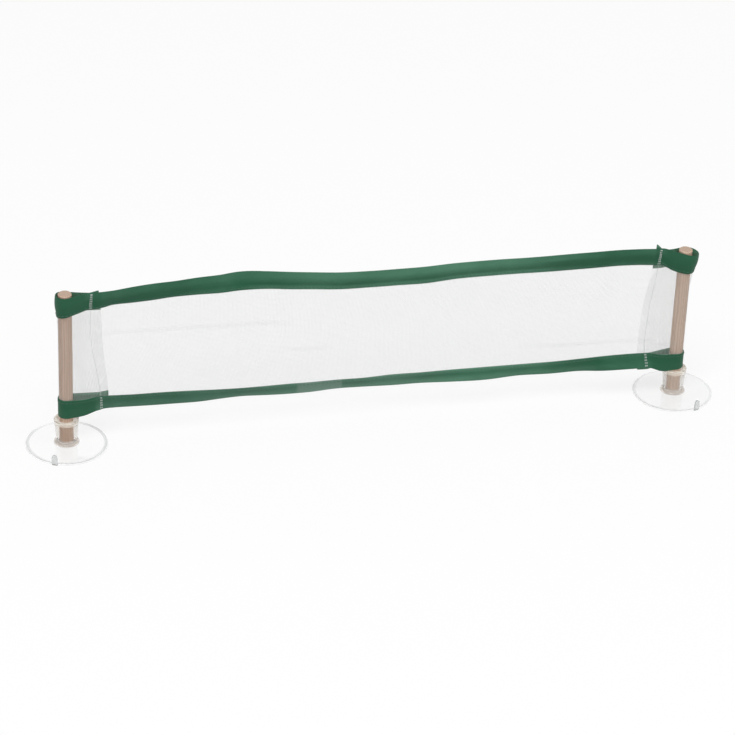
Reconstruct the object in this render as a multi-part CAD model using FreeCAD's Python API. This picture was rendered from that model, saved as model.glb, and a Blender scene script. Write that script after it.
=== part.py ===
import FreeCAD, Part
import math
import os

# Desktop table tennis net on two wooden posts that stand in suction cups.
# Millimetres. X runs along the net, Y is away from the viewer, Z is up.
# The origin lies on the table, halfway between the two posts.

# Posts
POST_SPAN = 436.0
POST_DIAMETER = 9.5
LEFT_POST_LENGTH = 115.2
RIGHT_POST_LENGTH = 112.7
POST_CHAMFER = 0.6

# Suction cups, pressed nearly flat on the table
CUP_DIAMETER = 57.0
RIM_THICKNESS = 1.2
LIP_WIDTH = 2.4
CAVITY_HEIGHT = 0.9
CAVITY_FLAT_RADIUS = 11.0
DOME_BULGE = 0.25
DOME_HEIGHT = 2.7
NECK_FILLET = 2.4

# Tubular sockets on the cups
SOCKET_FLOOR = 3.4
SOCKET_MOUTH_HEIGHT = 20.0
SOCKET_NECK_WALL = 2.2
SOCKET_MOUTH_WALL = 2.7
SOCKET_MOUTH_FLARE = 0.9
SOCKET_GRIP_LENGTH = 6.0
SOCKET_LIP_ROUND = 0.6
POST_CLEARANCE = 0.25
POST_SEAT_GAP = 0.2

# Release tabs on the cup rims
TAB_WIDTH = 4.0
TAB_HEIGHT = 8.2
TAB_THICKNESS = 1.4
TAB_HINGE_GAP = 0.25
TAB_LIFT = 0.15
LEFT_TAB_TURN = 24.0
RIGHT_TAB_TURN = 18.5

# Net: mesh, and the tapes that bind its long edges
NET_FOOT = 23.0
MESH_HEIGHT = 72.0
MESH_THICKNESS = 0.25
TOP_TAPE_HEIGHT = 13.0
BOTTOM_TAPE_HEIGHT = 11.0
TAPE_PLY = 0.28
TAPE_CLEARANCE = 0.06
HEM_IN_TAPE = 8.0

# Mesh openings
GAP_COLUMNS = 34
GAP_ROWS = 7
SLEEVE_GAP_COLUMNS = 2
STRAND_WIDTH = 1.4

# End sleeves: the net folds back round each post and is sewn down
SEAM_REACH_TOP = 18.0
SEAM_REACH_BOTTOM = 23.0
FLAP_LENGTH = 6.5
SLEEVE_CLEARANCE = 0.36
LAYER_GAP = 0.15
ROUND_STEPS = 12
SLEEVE_EDGE_GAP = 0.1

# Tape loops round the posts. A drop or a rise is how far a loop's edge lies
# below or above the tape's edge there, and a stand-out is how far the loop's
# round end hangs clear of a snug fit.
LEFT_TOP_HEAD_DROP = 2.6
LEFT_TOP_FOOT_DROP = 2.0
RIGHT_TOP_HEAD_DROP = 4.0
RIGHT_TOP_FOOT_DROP = 6.4
LEFT_BOTTOM_HEAD_RISE = 2.3
RIGHT_BOTTOM_HEAD_RISE = 0.3
BOTTOM_FOOT_DROP = 0.7
LEFT_STAND_OUT_HEAD = 0.9
RIGHT_STAND_OUT_FOOT = 1.6
RIGHT_STAND_OUT_HEAD = 4.1

# Sewing thread
THREAD_WIDTH = 0.6
THREAD_THICKNESS = 0.3
THREAD_GAP = 0.08
SEAM_MARGIN = 1.4
SEAM_STEP = 0.8

# Folds of the hanging net. Each row gives a place along the net, as a share
# of the way from seam to seam, and how far the mesh top, the top tape's upper
# edge and the bottom tape's lower edge stand back there.
FOLDS = (
    (0.000, 0.0, 0.0, 3.0),
    (0.025, 0.0, 0.0, 3.0),
    (0.060, 0.5, 0.0, 5.0),
    (0.130, 5.0, 5.5, 4.5),
    (0.210, 8.0, 10.5, 4.8),
    (0.270, 11.0, 14.5, 5.5),
    (0.340, 7.0, 9.5, 5.0),
    (0.420, 0.8, 1.5, 4.8),
    (0.520, -0.8, 0.0, 4.8),
    (0.600, -1.4, -0.8, 3.0),
    (0.710, 2.0, 1.5, 1.5),
    (0.810, 1.2, 0.8, 2.5),
    (0.910, 1.0, 0.5, 0.5),
    (0.975, 0.0, 0.0, 0.0),
    (1.000, 0.0, 0.0, 0.0),
)

# Parts that each stretch between two folds of a tape is split into
FOLD_PARTS = 4

POST_RADIUS = POST_DIAMETER / 2
CUP_RADIUS = CUP_DIAMETER / 2
BORE_RADIUS = POST_RADIUS + POST_CLEARANCE
SLOT_WIDTH = MESH_THICKNESS + 2 * TAPE_CLEARANCE
TAPE_THICKNESS = SLOT_WIDTH + 2 * TAPE_PLY
MESH_FOOT = NET_FOOT + BOTTOM_TAPE_HEIGHT
MESH_HEAD = MESH_FOOT + MESH_HEIGHT
NET_HEAD = MESH_HEAD + TOP_TAPE_HEIGHT


def point(x, y, z):
    return FreeCAD.Vector(x, y, z)


def closed_face(edges):
    return Part.Face(Part.Wire(edges))


def polygon_wire(points):
    return Part.makePolygon(list(points) + [points[0]])


def mirrored(shape):
    return shape.mirror(point(0, 0, 0), point(1, 0, 0))


def round_points(centre_x, centre_z, radius, start, end, steps):
    """Points round a corner of a section in the XZ plane, angles in degrees."""
    points = []
    for step in range(steps + 1):
        angle = math.radians(start + (end - start) * step / steps)
        points.append(point(centre_x + radius * math.cos(angle), 0, centre_z + radius * math.sin(angle)))
    return points


def lines_through(points):
    return [Part.makeLine(a, b) for a, b in zip(points, points[1:])]


def bowed(start, end, bulge):
    """A shallow arc between two points of a section, bowed upwards."""
    return Part.Arc(start, (start + end) * 0.5 + point(0, 0, bulge), end).toShape()


# Suction cup with its socket


def cup_profile():
    """Half section of the cup in the XZ plane, from the axis outwards."""
    rim = RIM_THICKNESS / 2
    neck = BORE_RADIUS + SOCKET_NECK_WALL
    mouth_bore = BORE_RADIUS + SOCKET_MOUTH_FLARE
    mouth = mouth_bore + SOCKET_MOUTH_WALL
    lip = SOCKET_LIP_ROUND
    lip_z = SOCKET_MOUTH_HEIGHT - lip
    fillet_z = DOME_HEIGHT + NECK_FILLET
    rim_round = round_points(CUP_RADIUS - rim, rim, rim, -90, 90, 4)
    neck_round = round_points(neck + NECK_FILLET, fillet_z, NECK_FILLET, 270, 180, 4)
    outer_lip = round_points(mouth - lip, lip_z, lip, 0, 90, 2)
    inner_lip = round_points(mouth_bore + lip, lip_z, lip, 90, 180, 2)
    roof_edge = point(CAVITY_FLAT_RADIUS, 0, CAVITY_HEIGHT)
    lip_edge = rim_round[0] - point(LIP_WIDTH, 0, 0)
    socket = [
        point(BORE_RADIUS, 0, SOCKET_FLOOR + SOCKET_GRIP_LENGTH),
        point(BORE_RADIUS, 0, SOCKET_FLOOR),
        point(0, 0, SOCKET_FLOOR),
        point(0, 0, CAVITY_HEIGHT),
        roof_edge,
    ]
    edges = [bowed(roof_edge, lip_edge, DOME_BULGE)]
    edges += lines_through([lip_edge] + rim_round)
    edges.append(bowed(rim_round[-1], neck_round[0], DOME_BULGE))
    edges += lines_through(neck_round + outer_lip + inner_lip + socket)
    return edges


def suction_cup(side):
    cup = closed_face(cup_profile()).revolve(point(0, 0, 0), point(0, 0, 1), 360)
    cup.translate(point(side * POST_SPAN / 2, 0, 0))
    return cup


def release_tab(side, turn):
    """Upright tongue with a round root, which turns about the root's centre."""
    root = TAB_THICKNESS / 2
    half = TAB_WIDTH / 2
    shoulder = TAB_HEIGHT - half
    outline = [
        Part.makeLine(point(-half, 0, 0), point(half, 0, 0)),
        Part.makeLine(point(half, 0, 0), point(half, 0, shoulder)),
        Part.Arc(point(half, 0, shoulder), point(0, 0, TAB_HEIGHT), point(-half, 0, shoulder)).toShape(),
        Part.makeLine(point(-half, 0, shoulder), point(-half, 0, 0)),
    ]
    tongue = closed_face(outline).extrude(point(0, TAB_THICKNESS, 0))
    tongue.translate(point(0, -root, 0))
    knuckle = Part.makeCylinder(root, TAB_WIDTH, point(-half, 0, 0), point(1, 0, 0))
    tab = tongue.fuse(knuckle).removeSplitter()
    tab.translate(point(0, -(CUP_RADIUS + TAB_HINGE_GAP + root), TAB_LIFT + root))
    tab.rotate(point(0, 0, 0), point(0, 0, 1), side * turn)
    tab.translate(point(side * POST_SPAN / 2, 0, 0))
    return tab


def post(side, length):
    dowel = Part.makeCylinder(POST_RADIUS, length)
    ends = [edge for edge in dowel.Edges if isinstance(edge.Curve, Part.Circle)]
    dowel = dowel.makeChamfer(POST_CHAMFER, ends)
    dowel.translate(point(side * POST_SPAN / 2, 0, SOCKET_FLOOR + POST_SEAT_GAP))
    return dowel


# Hanging net: stations along its folds


def seam_reach(z):
    """Distance from a post's centre to the sleeve seam at a height."""
    share = (z - NET_FOOT) / (NET_HEAD - NET_FOOT)
    return SEAM_REACH_BOTTOM + share * (SEAM_REACH_TOP - SEAM_REACH_BOTTOM)


def leaning(start, back, length):
    """End point of a strip of a given length that stands back by a distance."""
    rise = math.sqrt(length ** 2 - back ** 2)
    return start + point(0, back, rise)


def station(fold):
    """Four edge points of the net at one place: foot, mesh foot, mesh head, head."""
    share, mesh_back, tape_back, foot_back = fold
    inner = POST_SPAN - SEAM_REACH_TOP - SEAM_REACH_BOTTOM
    x = (share - 0.5) * inner
    mesh_foot = point(x, 0, MESH_FOOT)
    mesh_head = leaning(mesh_foot, mesh_back, MESH_HEIGHT)
    head = leaning(mesh_head, tape_back - mesh_back, TOP_TAPE_HEIGHT)
    down = leaning(point(0, 0, 0), foot_back, BOTTOM_TAPE_HEIGHT)
    foot = mesh_foot + point(0, down.y, -down.z)
    return foot, mesh_foot, mesh_head, head


def stations():
    """Stations along the folds, carried straight on past both seams."""
    rows = [station(fold) for fold in FOLDS]
    run_out = SEAM_REACH_BOTTOM - SEAM_REACH_TOP
    before = [p - point(run_out, 0, 0) for p in rows[0]]
    after = [p + point(run_out, 0, 0) for p in rows[-1]]
    return [before] + rows + [after]


def across(start, end):
    """Unit vector square to a strip, pointing back."""
    run = end - start
    normal = point(0, run.z, -run.y)
    return normal.normalize()


def mesh_section(foot, mesh_foot, mesh_head, head):
    """The mesh sheet at one station, with a hem inside each tape."""
    down = (foot - mesh_foot).normalize() * HEM_IN_TAPE
    up = (head - mesh_head).normalize() * HEM_IN_TAPE
    line = [mesh_foot + down, mesh_foot, mesh_head, mesh_head + up]
    sides = [across(a, b) for a, b in zip(line, line[1:])]
    normals = [sides[0], (sides[0] + sides[1]).normalize(), (sides[1] + sides[2]).normalize(), sides[2]]
    half = MESH_THICKNESS / 2
    front = [p - n * half for p, n in zip(line, normals)]
    back = [p + n * half for p, n in zip(line, normals)]
    return polygon_wire(front + back[::-1])


def tape_section(open_edge, fold_edge):
    """Corners of a tape folded over the mesh edge: two plies with a slot between."""
    up = (fold_edge - open_edge).normalize()
    out = across(open_edge, fold_edge)
    outer = TAPE_THICKNESS / 2
    slot = SLOT_WIDTH / 2
    slot_end = fold_edge - up * TAPE_PLY
    return [
        open_edge - out * outer,
        fold_edge - out * outer,
        fold_edge + out * outer,
        open_edge + out * outer,
        open_edge + out * slot,
        slot_end + out * slot,
        slot_end - out * slot,
        open_edge - out * slot,
    ]


def ruled(sections):
    """A solid through closed sections, split evenly so that its twist stays small."""
    wires = [polygon_wire(sections[0])]
    for before, after in zip(sections, sections[1:]):
        for step in range(1, FOLD_PARTS + 1):
            share = step / FOLD_PARTS
            wires.append(polygon_wire([a + (b - a) * share for a, b in zip(before, after)]))
    return Part.makeLoft(wires, True, True)


def between_seams(shape, inset=0.0):
    """Keeps the part of the span that lies between the two slanted seams."""
    left = POST_SPAN / 2 - inset
    low, high = NET_FOOT - BOTTOM_TAPE_HEIGHT, NET_HEAD + TOP_TAPE_HEIGHT
    corners = [
        point(-left + seam_reach(low), -40, low),
        point(left - seam_reach(low), -40, low),
        point(left - seam_reach(high), -40, high),
        point(-left + seam_reach(high), -40, high),
    ]
    keep = Part.Face(polygon_wire(corners)).extrude(point(0, 80, 0))
    return shape.common(keep)


def gap_grid(left, right, foot, head, columns):
    """Window boxes through the mesh, in even columns and rows."""
    width = (right - left) / columns
    height = (head - foot - STRAND_WIDTH) / GAP_ROWS
    boxes = []
    for column in range(columns):
        for row in range(GAP_ROWS):
            x = left + column * width + STRAND_WIDTH / 2
            z = foot + STRAND_WIDTH + row * height
            boxes.append(
                Part.makeBox(width - STRAND_WIDTH, 80, height - STRAND_WIDTH, point(x, -40, z))
            )
    return Part.makeCompound(boxes)


def net_mesh():
    sheet = Part.makeLoft([mesh_section(*row) for row in stations()], True, True)
    edge = POST_SPAN / 2 - SEAM_REACH_BOTTOM
    gaps = gap_grid(-edge, edge, MESH_FOOT, MESH_HEAD, GAP_COLUMNS)
    return between_seams(sheet).cut(gaps)


def top_tape():
    return between_seams(ruled([tape_section(row[2], row[3]) for row in stations()]))


def bottom_tape():
    return between_seams(ruled([tape_section(row[1], row[0]) for row in stations()]))


def edge_thread_section(open_edge, fold_edge):
    """The thread that closes a tape, on its front face beside the open edge."""
    up = (fold_edge - open_edge).normalize()
    out = across(open_edge, fold_edge)
    if out.y < 0:
        out = out * -1
    inner = open_edge + up * SEAM_MARGIN - out * (TAPE_THICKNESS / 2 + THREAD_GAP)
    outer = inner - out * THREAD_THICKNESS
    width = up * THREAD_WIDTH
    return polygon_wire([inner, inner + width, outer + width, outer])


def edge_seam(sections):
    """A tape's own seam, which stops short of the two sleeve seams."""
    inset = THREAD_WIDTH + 3 * THREAD_GAP
    return between_seams(Part.makeLoft(sections, True, True), inset)


def top_tape_seam():
    return edge_seam([edge_thread_section(row[2], row[3]) for row in stations()])


def bottom_tape_seam():
    return edge_seam([edge_thread_section(row[1], row[0]) for row in stations()])


# End sleeves and tape loops, made at the left post and mirrored for the right


def tangent_point(start, centre, radius, side):
    """Where a line from a point touches a circle, on its front or back."""
    away = centre - start
    distance = away.Length
    angle = math.atan2(away.y, away.x) - side * math.asin(radius / distance)
    reach = math.sqrt(distance ** 2 - radius ** 2)
    return start + point(reach * math.cos(angle), reach * math.sin(angle), 0)


def far_round(front, back, centre, radius):
    """Points from a front touch round the far side to a back touch."""
    first = math.atan2(front.y - centre.y, front.x - centre.x)
    last = math.atan2(back.y - centre.y, back.x - centre.x)
    sweep = (last - first) % (2 * math.pi) - 2 * math.pi
    points = []
    for step in range(ROUND_STEPS + 1):
        angle = first + sweep * step / ROUND_STEPS
        points.append(centre + point(radius * math.cos(angle), radius * math.sin(angle), 0))
    return points


def hairpin(z, thickness, stand_out=0.0, seam_back=0.0):
    """Plan outline of a layer that goes round the post and back to the seam.

    Its round end hangs clear of the post by the stand-out, and its straight
    walls still pass the post at the sleeve clearance.
    """
    reach = seam_reach(z)
    snug = POST_RADIUS + SLEEVE_CLEARANCE
    shift = stand_out / (1 + snug / reach)
    radius = snug * (1 + shift / reach)
    half = thickness / 2
    centre = point(-shift, 0, z)
    back_inner = seam_back + half + LAYER_GAP
    sides = []
    for front_y, back_y, bend in (
        (seam_back - half, back_inner + thickness, radius + thickness),
        (seam_back + half, back_inner, radius),
    ):
        front = point(reach, front_y, z)
        back = point(reach, back_y, z)
        front_touch = tangent_point(front, centre, bend, -1)
        back_touch = tangent_point(back, centre, bend, 1)
        flap = point(reach + FLAP_LENGTH, back_y, z)
        sides.append([front] + far_round(front_touch, back_touch, centre, bend) + [back, flap])
    return polygon_wire(sides[0] + sides[1][::-1])


def band_prism(post_foot, post_head, seam_foot, seam_head):
    """Space between a band's lower and upper edges, which slope from post to seam."""
    far = -2 * SEAM_REACH_BOTTOM
    reach = SEAM_REACH_BOTTOM + FLAP_LENGTH + SLEEVE_CLEARANCE
    corners = [
        (far, post_foot),
        (POST_RADIUS, post_foot),
        (SEAM_REACH_TOP, seam_foot),
        (reach, seam_foot),
        (reach, seam_head),
        (SEAM_REACH_TOP, seam_head),
        (POST_RADIUS, post_head),
        (far, post_head),
    ]
    wire = polygon_wire([point(x, -40, z) for x, z in corners])
    return Part.Face(wire).extrude(point(0, 80, 0))


def top_loop(foot_drop, head_drop, foot_stand_out, head_stand_out):
    foot = MESH_HEAD - foot_drop
    head = NET_HEAD - head_drop
    low = hairpin(foot, TAPE_THICKNESS, foot_stand_out)
    high = hairpin(NET_HEAD, TAPE_THICKNESS, head_stand_out)
    band = Part.makeLoft([low, high], True, True)
    return band.common(band_prism(foot, head, MESH_HEAD, NET_HEAD))


def bottom_loop(head_rise, foot_back):
    foot = NET_FOOT - BOTTOM_FOOT_DROP
    head = MESH_FOOT + head_rise
    seam_foot = MESH_FOOT - math.sqrt(BOTTOM_TAPE_HEIGHT ** 2 - foot_back ** 2)
    tilt = foot_back / (MESH_FOOT - seam_foot)
    low = hairpin(foot, TAPE_THICKNESS, 0, tilt * (MESH_FOOT - foot))
    middle = hairpin(MESH_FOOT, TAPE_THICKNESS)
    high = hairpin(MESH_FOOT + SEAM_REACH_BOTTOM, TAPE_THICKNESS)
    band = Part.makeLoft([low, middle, high], True, True)
    return band.common(band_prism(foot, head, seam_foot, head))


def sleeve(head_rise, foot_drop):
    """The mesh folded back round the post, between the two tape loops."""
    low = MESH_FOOT + head_rise + SLEEVE_EDGE_GAP
    high = MESH_HEAD - foot_drop - SLEEVE_EDGE_GAP
    seam_high = MESH_HEAD - SLEEVE_EDGE_GAP
    sections = [hairpin(z, MESH_THICKNESS) for z in (NET_FOOT, NET_HEAD)]
    band = Part.makeLoft(sections, True, True)
    band = band.common(band_prism(low, high, low, seam_high))
    left = -POST_RADIUS / 2
    right = SEAM_REACH_TOP - STRAND_WIDTH / 2
    return band.cut(gap_grid(left, right, low, high, SLEEVE_GAP_COLUMNS))


def sleeve_seam(foot_back):
    """The thread that sews a sleeve down, on the front from tape to tape."""
    seam_foot = MESH_FOOT - math.sqrt(BOTTOM_TAPE_HEIGHT ** 2 - foot_back ** 2)
    tape = TAPE_THICKNESS / 2
    mesh = MESH_THICKNESS / 2
    levels = (
        (seam_foot + THREAD_GAP, foot_back - tape / math.cos(math.asin(foot_back / BOTTOM_TAPE_HEIGHT))),
        (MESH_FOOT, -tape),
        (MESH_FOOT + SEAM_STEP, -mesh),
        (MESH_HEAD - SEAM_STEP, -mesh),
        (MESH_HEAD, -tape),
        (NET_HEAD, -tape),
    )
    sections = []
    for z, front in levels:
        x = seam_reach(z) + THREAD_GAP
        y = front - THREAD_GAP
        corners = [
            point(x, y, z),
            point(x + THREAD_WIDTH, y, z),
            point(x + THREAD_WIDTH, y - THREAD_THICKNESS, z),
            point(x, y - THREAD_THICKNESS, z),
        ]
        sections.append(polygon_wire(corners))
    return Part.makeLoft(sections, True, True)


def at_left(shape):
    placed = shape.copy()
    placed.translate(point(-POST_SPAN / 2, 0, 0))
    return placed


def write(name, shape):
    solids = shape.Solids
    if len(solids) == 1:
        shape = solids[0]
    shape.exportStep("parts/" + name + ".step")
    box = shape.BoundBox
    print(
        "%-20s solids %d valid %s volume %9.1f  x %.1f %.1f  y %.1f %.1f  z %.1f %.1f"
        % (
            name, len(solids), shape.isValid(), shape.Volume,
            box.XMin, box.XMax, box.YMin, box.YMax, box.ZMin, box.ZMax,
        )
    )


def main():
    os.makedirs("parts", exist_ok=True)
    left_back = FOLDS[0][3]
    right_back = FOLDS[-1][3]
    write("left_suction_cup", suction_cup(-1))
    write("right_suction_cup", suction_cup(1))
    write("left_release_tab", release_tab(-1, LEFT_TAB_TURN))
    write("right_release_tab", release_tab(1, RIGHT_TAB_TURN))
    write("left_post", post(-1, LEFT_POST_LENGTH))
    write("right_post", post(1, RIGHT_POST_LENGTH))
    write("net_mesh", net_mesh())
    write("top_tape", top_tape())
    write("bottom_tape", bottom_tape())
    write("top_tape_seam", top_tape_seam())
    write("bottom_tape_seam", bottom_tape_seam())
    left_top = top_loop(LEFT_TOP_FOOT_DROP, LEFT_TOP_HEAD_DROP, 0, LEFT_STAND_OUT_HEAD)
    right_top = top_loop(RIGHT_TOP_FOOT_DROP, RIGHT_TOP_HEAD_DROP, RIGHT_STAND_OUT_FOOT, RIGHT_STAND_OUT_HEAD)
    write("left_top_loop", at_left(left_top))
    write("right_top_loop", mirrored(at_left(right_top)))
    write("left_bottom_loop", at_left(bottom_loop(LEFT_BOTTOM_HEAD_RISE, left_back)))
    write("right_bottom_loop", mirrored(at_left(bottom_loop(RIGHT_BOTTOM_HEAD_RISE, right_back))))
    write("left_sleeve", at_left(sleeve(LEFT_BOTTOM_HEAD_RISE, LEFT_TOP_FOOT_DROP)))
    write("right_sleeve", mirrored(at_left(sleeve(RIGHT_BOTTOM_HEAD_RISE, RIGHT_TOP_FOOT_DROP))))
    write("left_sleeve_seam", at_left(sleeve_seam(left_back)))
    write("right_sleeve_seam", mirrored(at_left(sleeve_seam(right_back))))


main()
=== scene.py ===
"""Desktop table tennis net: a taped mesh net hung on wooden posts in clear suction cups.

Lengths in the classes are millimetres, and every mesh is written in metres.
"""

import logging
import math
from collections.abc import Mapping, Sequence
from dataclasses import dataclass
from enum import Enum

import bpy
import numpy as np
from mathutils import Matrix, Vector


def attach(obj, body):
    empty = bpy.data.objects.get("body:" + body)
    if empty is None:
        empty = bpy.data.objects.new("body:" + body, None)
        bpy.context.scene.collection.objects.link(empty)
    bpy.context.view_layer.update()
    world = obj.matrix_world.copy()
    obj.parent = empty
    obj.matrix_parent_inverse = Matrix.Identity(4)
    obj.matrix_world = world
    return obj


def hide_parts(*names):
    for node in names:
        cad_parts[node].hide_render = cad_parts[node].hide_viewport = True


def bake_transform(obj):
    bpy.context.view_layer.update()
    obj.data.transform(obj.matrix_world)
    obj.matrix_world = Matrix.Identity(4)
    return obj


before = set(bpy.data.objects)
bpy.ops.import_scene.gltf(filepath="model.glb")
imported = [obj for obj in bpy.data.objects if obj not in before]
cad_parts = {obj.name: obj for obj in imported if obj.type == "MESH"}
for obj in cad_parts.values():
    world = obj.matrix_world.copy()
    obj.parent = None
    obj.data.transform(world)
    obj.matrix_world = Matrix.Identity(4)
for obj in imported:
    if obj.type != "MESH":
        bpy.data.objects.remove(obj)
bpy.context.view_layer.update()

MM = 0.001
IMAGE_WIDTH = 735
SENSOR_WIDTH = 36.0

# Millimetres from one post's axis to the other's, from the table to the mouth
# of a socket, and from the axis of a thread to its side
POST_SPAN = 436.0
SOCKET_MOUTH = 20.8
THREAD_RADIUS = 0.21

# Degrees round a folded tape's edge at which its section has points
FOLD_ANGLES = (30, 60, 90, 120, 150)

Colour = tuple[int, int, int]
Place = tuple[float, float, float]
Rises = tuple[float, float, float, float]

log = logging.getLogger("net")


# Shader arithmetic


def linear(red: float, green: float, blue: float) -> tuple[float, float, float, float]:
    """Turn a screen colour of 0 to 255 into the linear colour that a socket takes.

    Args:
        red: The screen value of red.
        green: The screen value of green.
        blue: The screen value of blue.

    Returns:
        Linear red, green and blue, and an alpha of 1.
    """
    parts = []
    for part in (red, green, blue):
        share = part / 255
        parts.append(share / 12.92 if share <= 0.04045 else ((share + 0.055) / 1.055) ** 2.4)
    return parts[0], parts[1], parts[2], 1.0


class Signal:
    """One output socket of a material, which takes part in arithmetic."""

    def __init__(self, board: "Board", socket: bpy.types.NodeSocket) -> None:
        """Hold a socket and the board that it belongs to."""
        self.board = board
        self.socket = socket

    def math(self, operation: str, *terms: "Term") -> "Signal":
        """Add a Math node.

        Args:
            operation: The node's operation.
            terms: Its inputs, in order.

        Returns:
            The node's value.
        """
        sockets = dict(enumerate(terms))
        return self.board.signal("ShaderNodeMath", 0, {"operation": operation}, sockets)

    def __add__(self, other: "Term") -> "Signal":
        """Return self + other."""
        return self.math("ADD", self, other)

    def __radd__(self, other: "Term") -> "Signal":
        """Return other + self."""
        return self.math("ADD", other, self)

    def __sub__(self, other: "Term") -> "Signal":
        """Return self - other."""
        return self.math("SUBTRACT", self, other)

    def __rsub__(self, other: "Term") -> "Signal":
        """Return other - self."""
        return self.math("SUBTRACT", other, self)

    def __mul__(self, other: "Term") -> "Signal":
        """Return self * other."""
        return self.math("MULTIPLY", self, other)

    def __rmul__(self, other: "Term") -> "Signal":
        """Return other * self."""
        return self.math("MULTIPLY", other, self)

    def __truediv__(self, other: "Term") -> "Signal":
        """Return self / other."""
        return self.math("DIVIDE", self, other)

    def __pow__(self, other: "Term") -> "Signal":
        """Return self to the power of other."""
        return self.math("POWER", self, other)

    def __abs__(self) -> "Signal":
        """Return the size of self without its sign."""
        return self.math("ABSOLUTE", self)

    def sine(self) -> "Signal":
        """Return the sine of self in radians."""
        return self.math("SINE", self)

    def fraction(self) -> "Signal":
        """Return what is left of self above its whole number."""
        return self.math("FRACT", self)

    def larger(self, other: "Term") -> "Signal":
        """Return the larger of self and other."""
        return self.math("MAXIMUM", self, other)

    def between(self, low: float, high: float) -> "Signal":
        """Rise smoothly from 0 at low to 1 at high.

        Args:
            low: Where the rise starts.
            high: Where it ends.

        Returns:
            A value from 0 to 1.
        """
        settings = {"interpolation_type": "SMOOTHSTEP"}
        return self.board.signal(
            "ShaderNodeMapRange", 0, settings, {"Value": self, "From Min": low, "From Max": high}
        )


Term = Signal | float | int | Sequence[float]


class Board:
    """The node tree of one material, or of the world."""

    def __init__(self, name: str, world: bool = False) -> None:
        """Make an empty material or world.

        Args:
            name: Its name.
            world: Whether it is a world.
        """
        self.block = (bpy.data.worlds if world else bpy.data.materials).new(name)
        self.block.use_nodes = True
        self.tree = self.block.node_tree
        self.tree.nodes.clear()

    def node(
        self, kind: str, settings: Mapping[str, object], sockets: Mapping[str | int, Term]
    ) -> bpy.types.Node:
        """Add a node of any type.

        Args:
            kind: The node's type.
            settings: Its properties, which are set before its sockets.
            sockets: A value or a signal for each named or numbered input.

        Returns:
            The new node.
        """
        made = self.tree.nodes.new(kind)
        for name, value in settings.items():
            setattr(made, name, value)
        for name, value in sockets.items():
            if isinstance(value, Signal):
                self.tree.links.new(value.socket, made.inputs[name])
            else:
                made.inputs[name].default_value = value
        return made

    def signal(
        self,
        kind: str,
        output: str | int,
        settings: Mapping[str, object],
        sockets: Mapping[str | int, Term],
    ) -> Signal:
        """Add a node and take one of its outputs.

        Args:
            kind: The node's type.
            output: The name or number of the output.
            settings: Its properties.
            sockets: Its inputs.

        Returns:
            That output.
        """
        return Signal(self, self.node(kind, settings, sockets).outputs[output])

    def cloth_place(self) -> tuple[Signal, Signal, Signal]:
        """Find the cloth's own coordinates.

        Returns:
            The place along and across the cloth in millimetres, and both as a
            vector in metres.
        """
        place = self.signal("ShaderNodeUVMap", "UV", {"uv_map": "cloth"}, {})
        parts = self.node("ShaderNodeSeparateXYZ", {}, {"Vector": place})
        return Signal(self, parts.outputs[0]) * 1000, Signal(self, parts.outputs[1]) * 1000, place

    def body_place(self) -> tuple[Signal, Signal, Signal, Signal]:
        """Find the object's own coordinates.

        Returns:
            x, y and z in millimetres, and the place as a vector in metres.
        """
        place = self.signal("ShaderNodeTexCoord", "Object", {}, {})
        parts = self.node("ShaderNodeSeparateXYZ", {}, {"Vector": place})
        x, y, z = (Signal(self, output) * 1000 for output in parts.outputs)
        return x, y, z, place

    def vector(self, x: Term, y: Term, z: Term) -> Signal:
        """Join three values into a vector."""
        return self.signal("ShaderNodeCombineXYZ", 0, {}, {0: x, 1: y, 2: z})

    def noise(
        self, place: Signal, scale: float, detail: float = 2.0, roughness: float = 0.5
    ) -> Signal:
        """Return smooth noise from 0 to 1.

        Args:
            place: Where it is read.
            scale: Patches to a unit of the place.
            detail: How many finer layers it has.
            roughness: How strong these are.

        Returns:
            The noise's value.
        """
        sockets = {"Vector": place, "Scale": scale, "Detail": detail, "Roughness": roughness}
        return self.signal("ShaderNodeTexNoise", 0, {"noise_dimensions": "3D"}, sockets)

    def mix(self, share: Term, first: Term, second: Term) -> Signal:
        """Mix two colours.

        Args:
            share: How much of the second one there is.
            first: A colour.
            second: A colour.

        Returns:
            The mixed colour.
        """
        sockets = {0: share, 6: first, 7: second}
        return self.signal("ShaderNodeMix", 2, {"data_type": "RGBA"}, sockets)

    def bump(self, height: Signal, distance: float, strength: float = 1.0) -> Signal:
        """Return a normal that a height in millimetres bends."""
        sockets = {"Height": height, "Distance": distance * MM, "Strength": strength}
        return self.signal("ShaderNodeBump", 0, {}, sockets)

    def principled(self, sockets: Mapping[str | int, Term]) -> Signal:
        """Return a Principled surface with those inputs."""
        return self.signal("ShaderNodeBsdfPrincipled", 0, {}, sockets)

    def blend(self, share: Signal, first: Signal, second: Signal) -> Signal:
        """Return a surface that has so much of the second one and the rest of the first."""
        return self.signal("ShaderNodeMixShader", 0, {}, {0: share, 1: first, 2: second})

    def rays(self, *kinds: str) -> Signal:
        """Tell whether a ray is of one of some kinds.

        Args:
            kinds: The names of the kinds.

        Returns:
            1 if it is, or else 0.
        """
        path = self.node("ShaderNodeLightPath", {}, {})
        most = Signal(self, path.outputs[kinds[0]])
        for kind in kinds[1:]:
            most = most.larger(Signal(self, path.outputs[kind]))
        return most

    def finish(self, surface: Signal) -> bpy.types.Material:
        """Lead a surface to the output and return the material."""
        self.node("ShaderNodeOutputMaterial", {}, {"Surface": surface})
        return self.block


# Finishes


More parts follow.
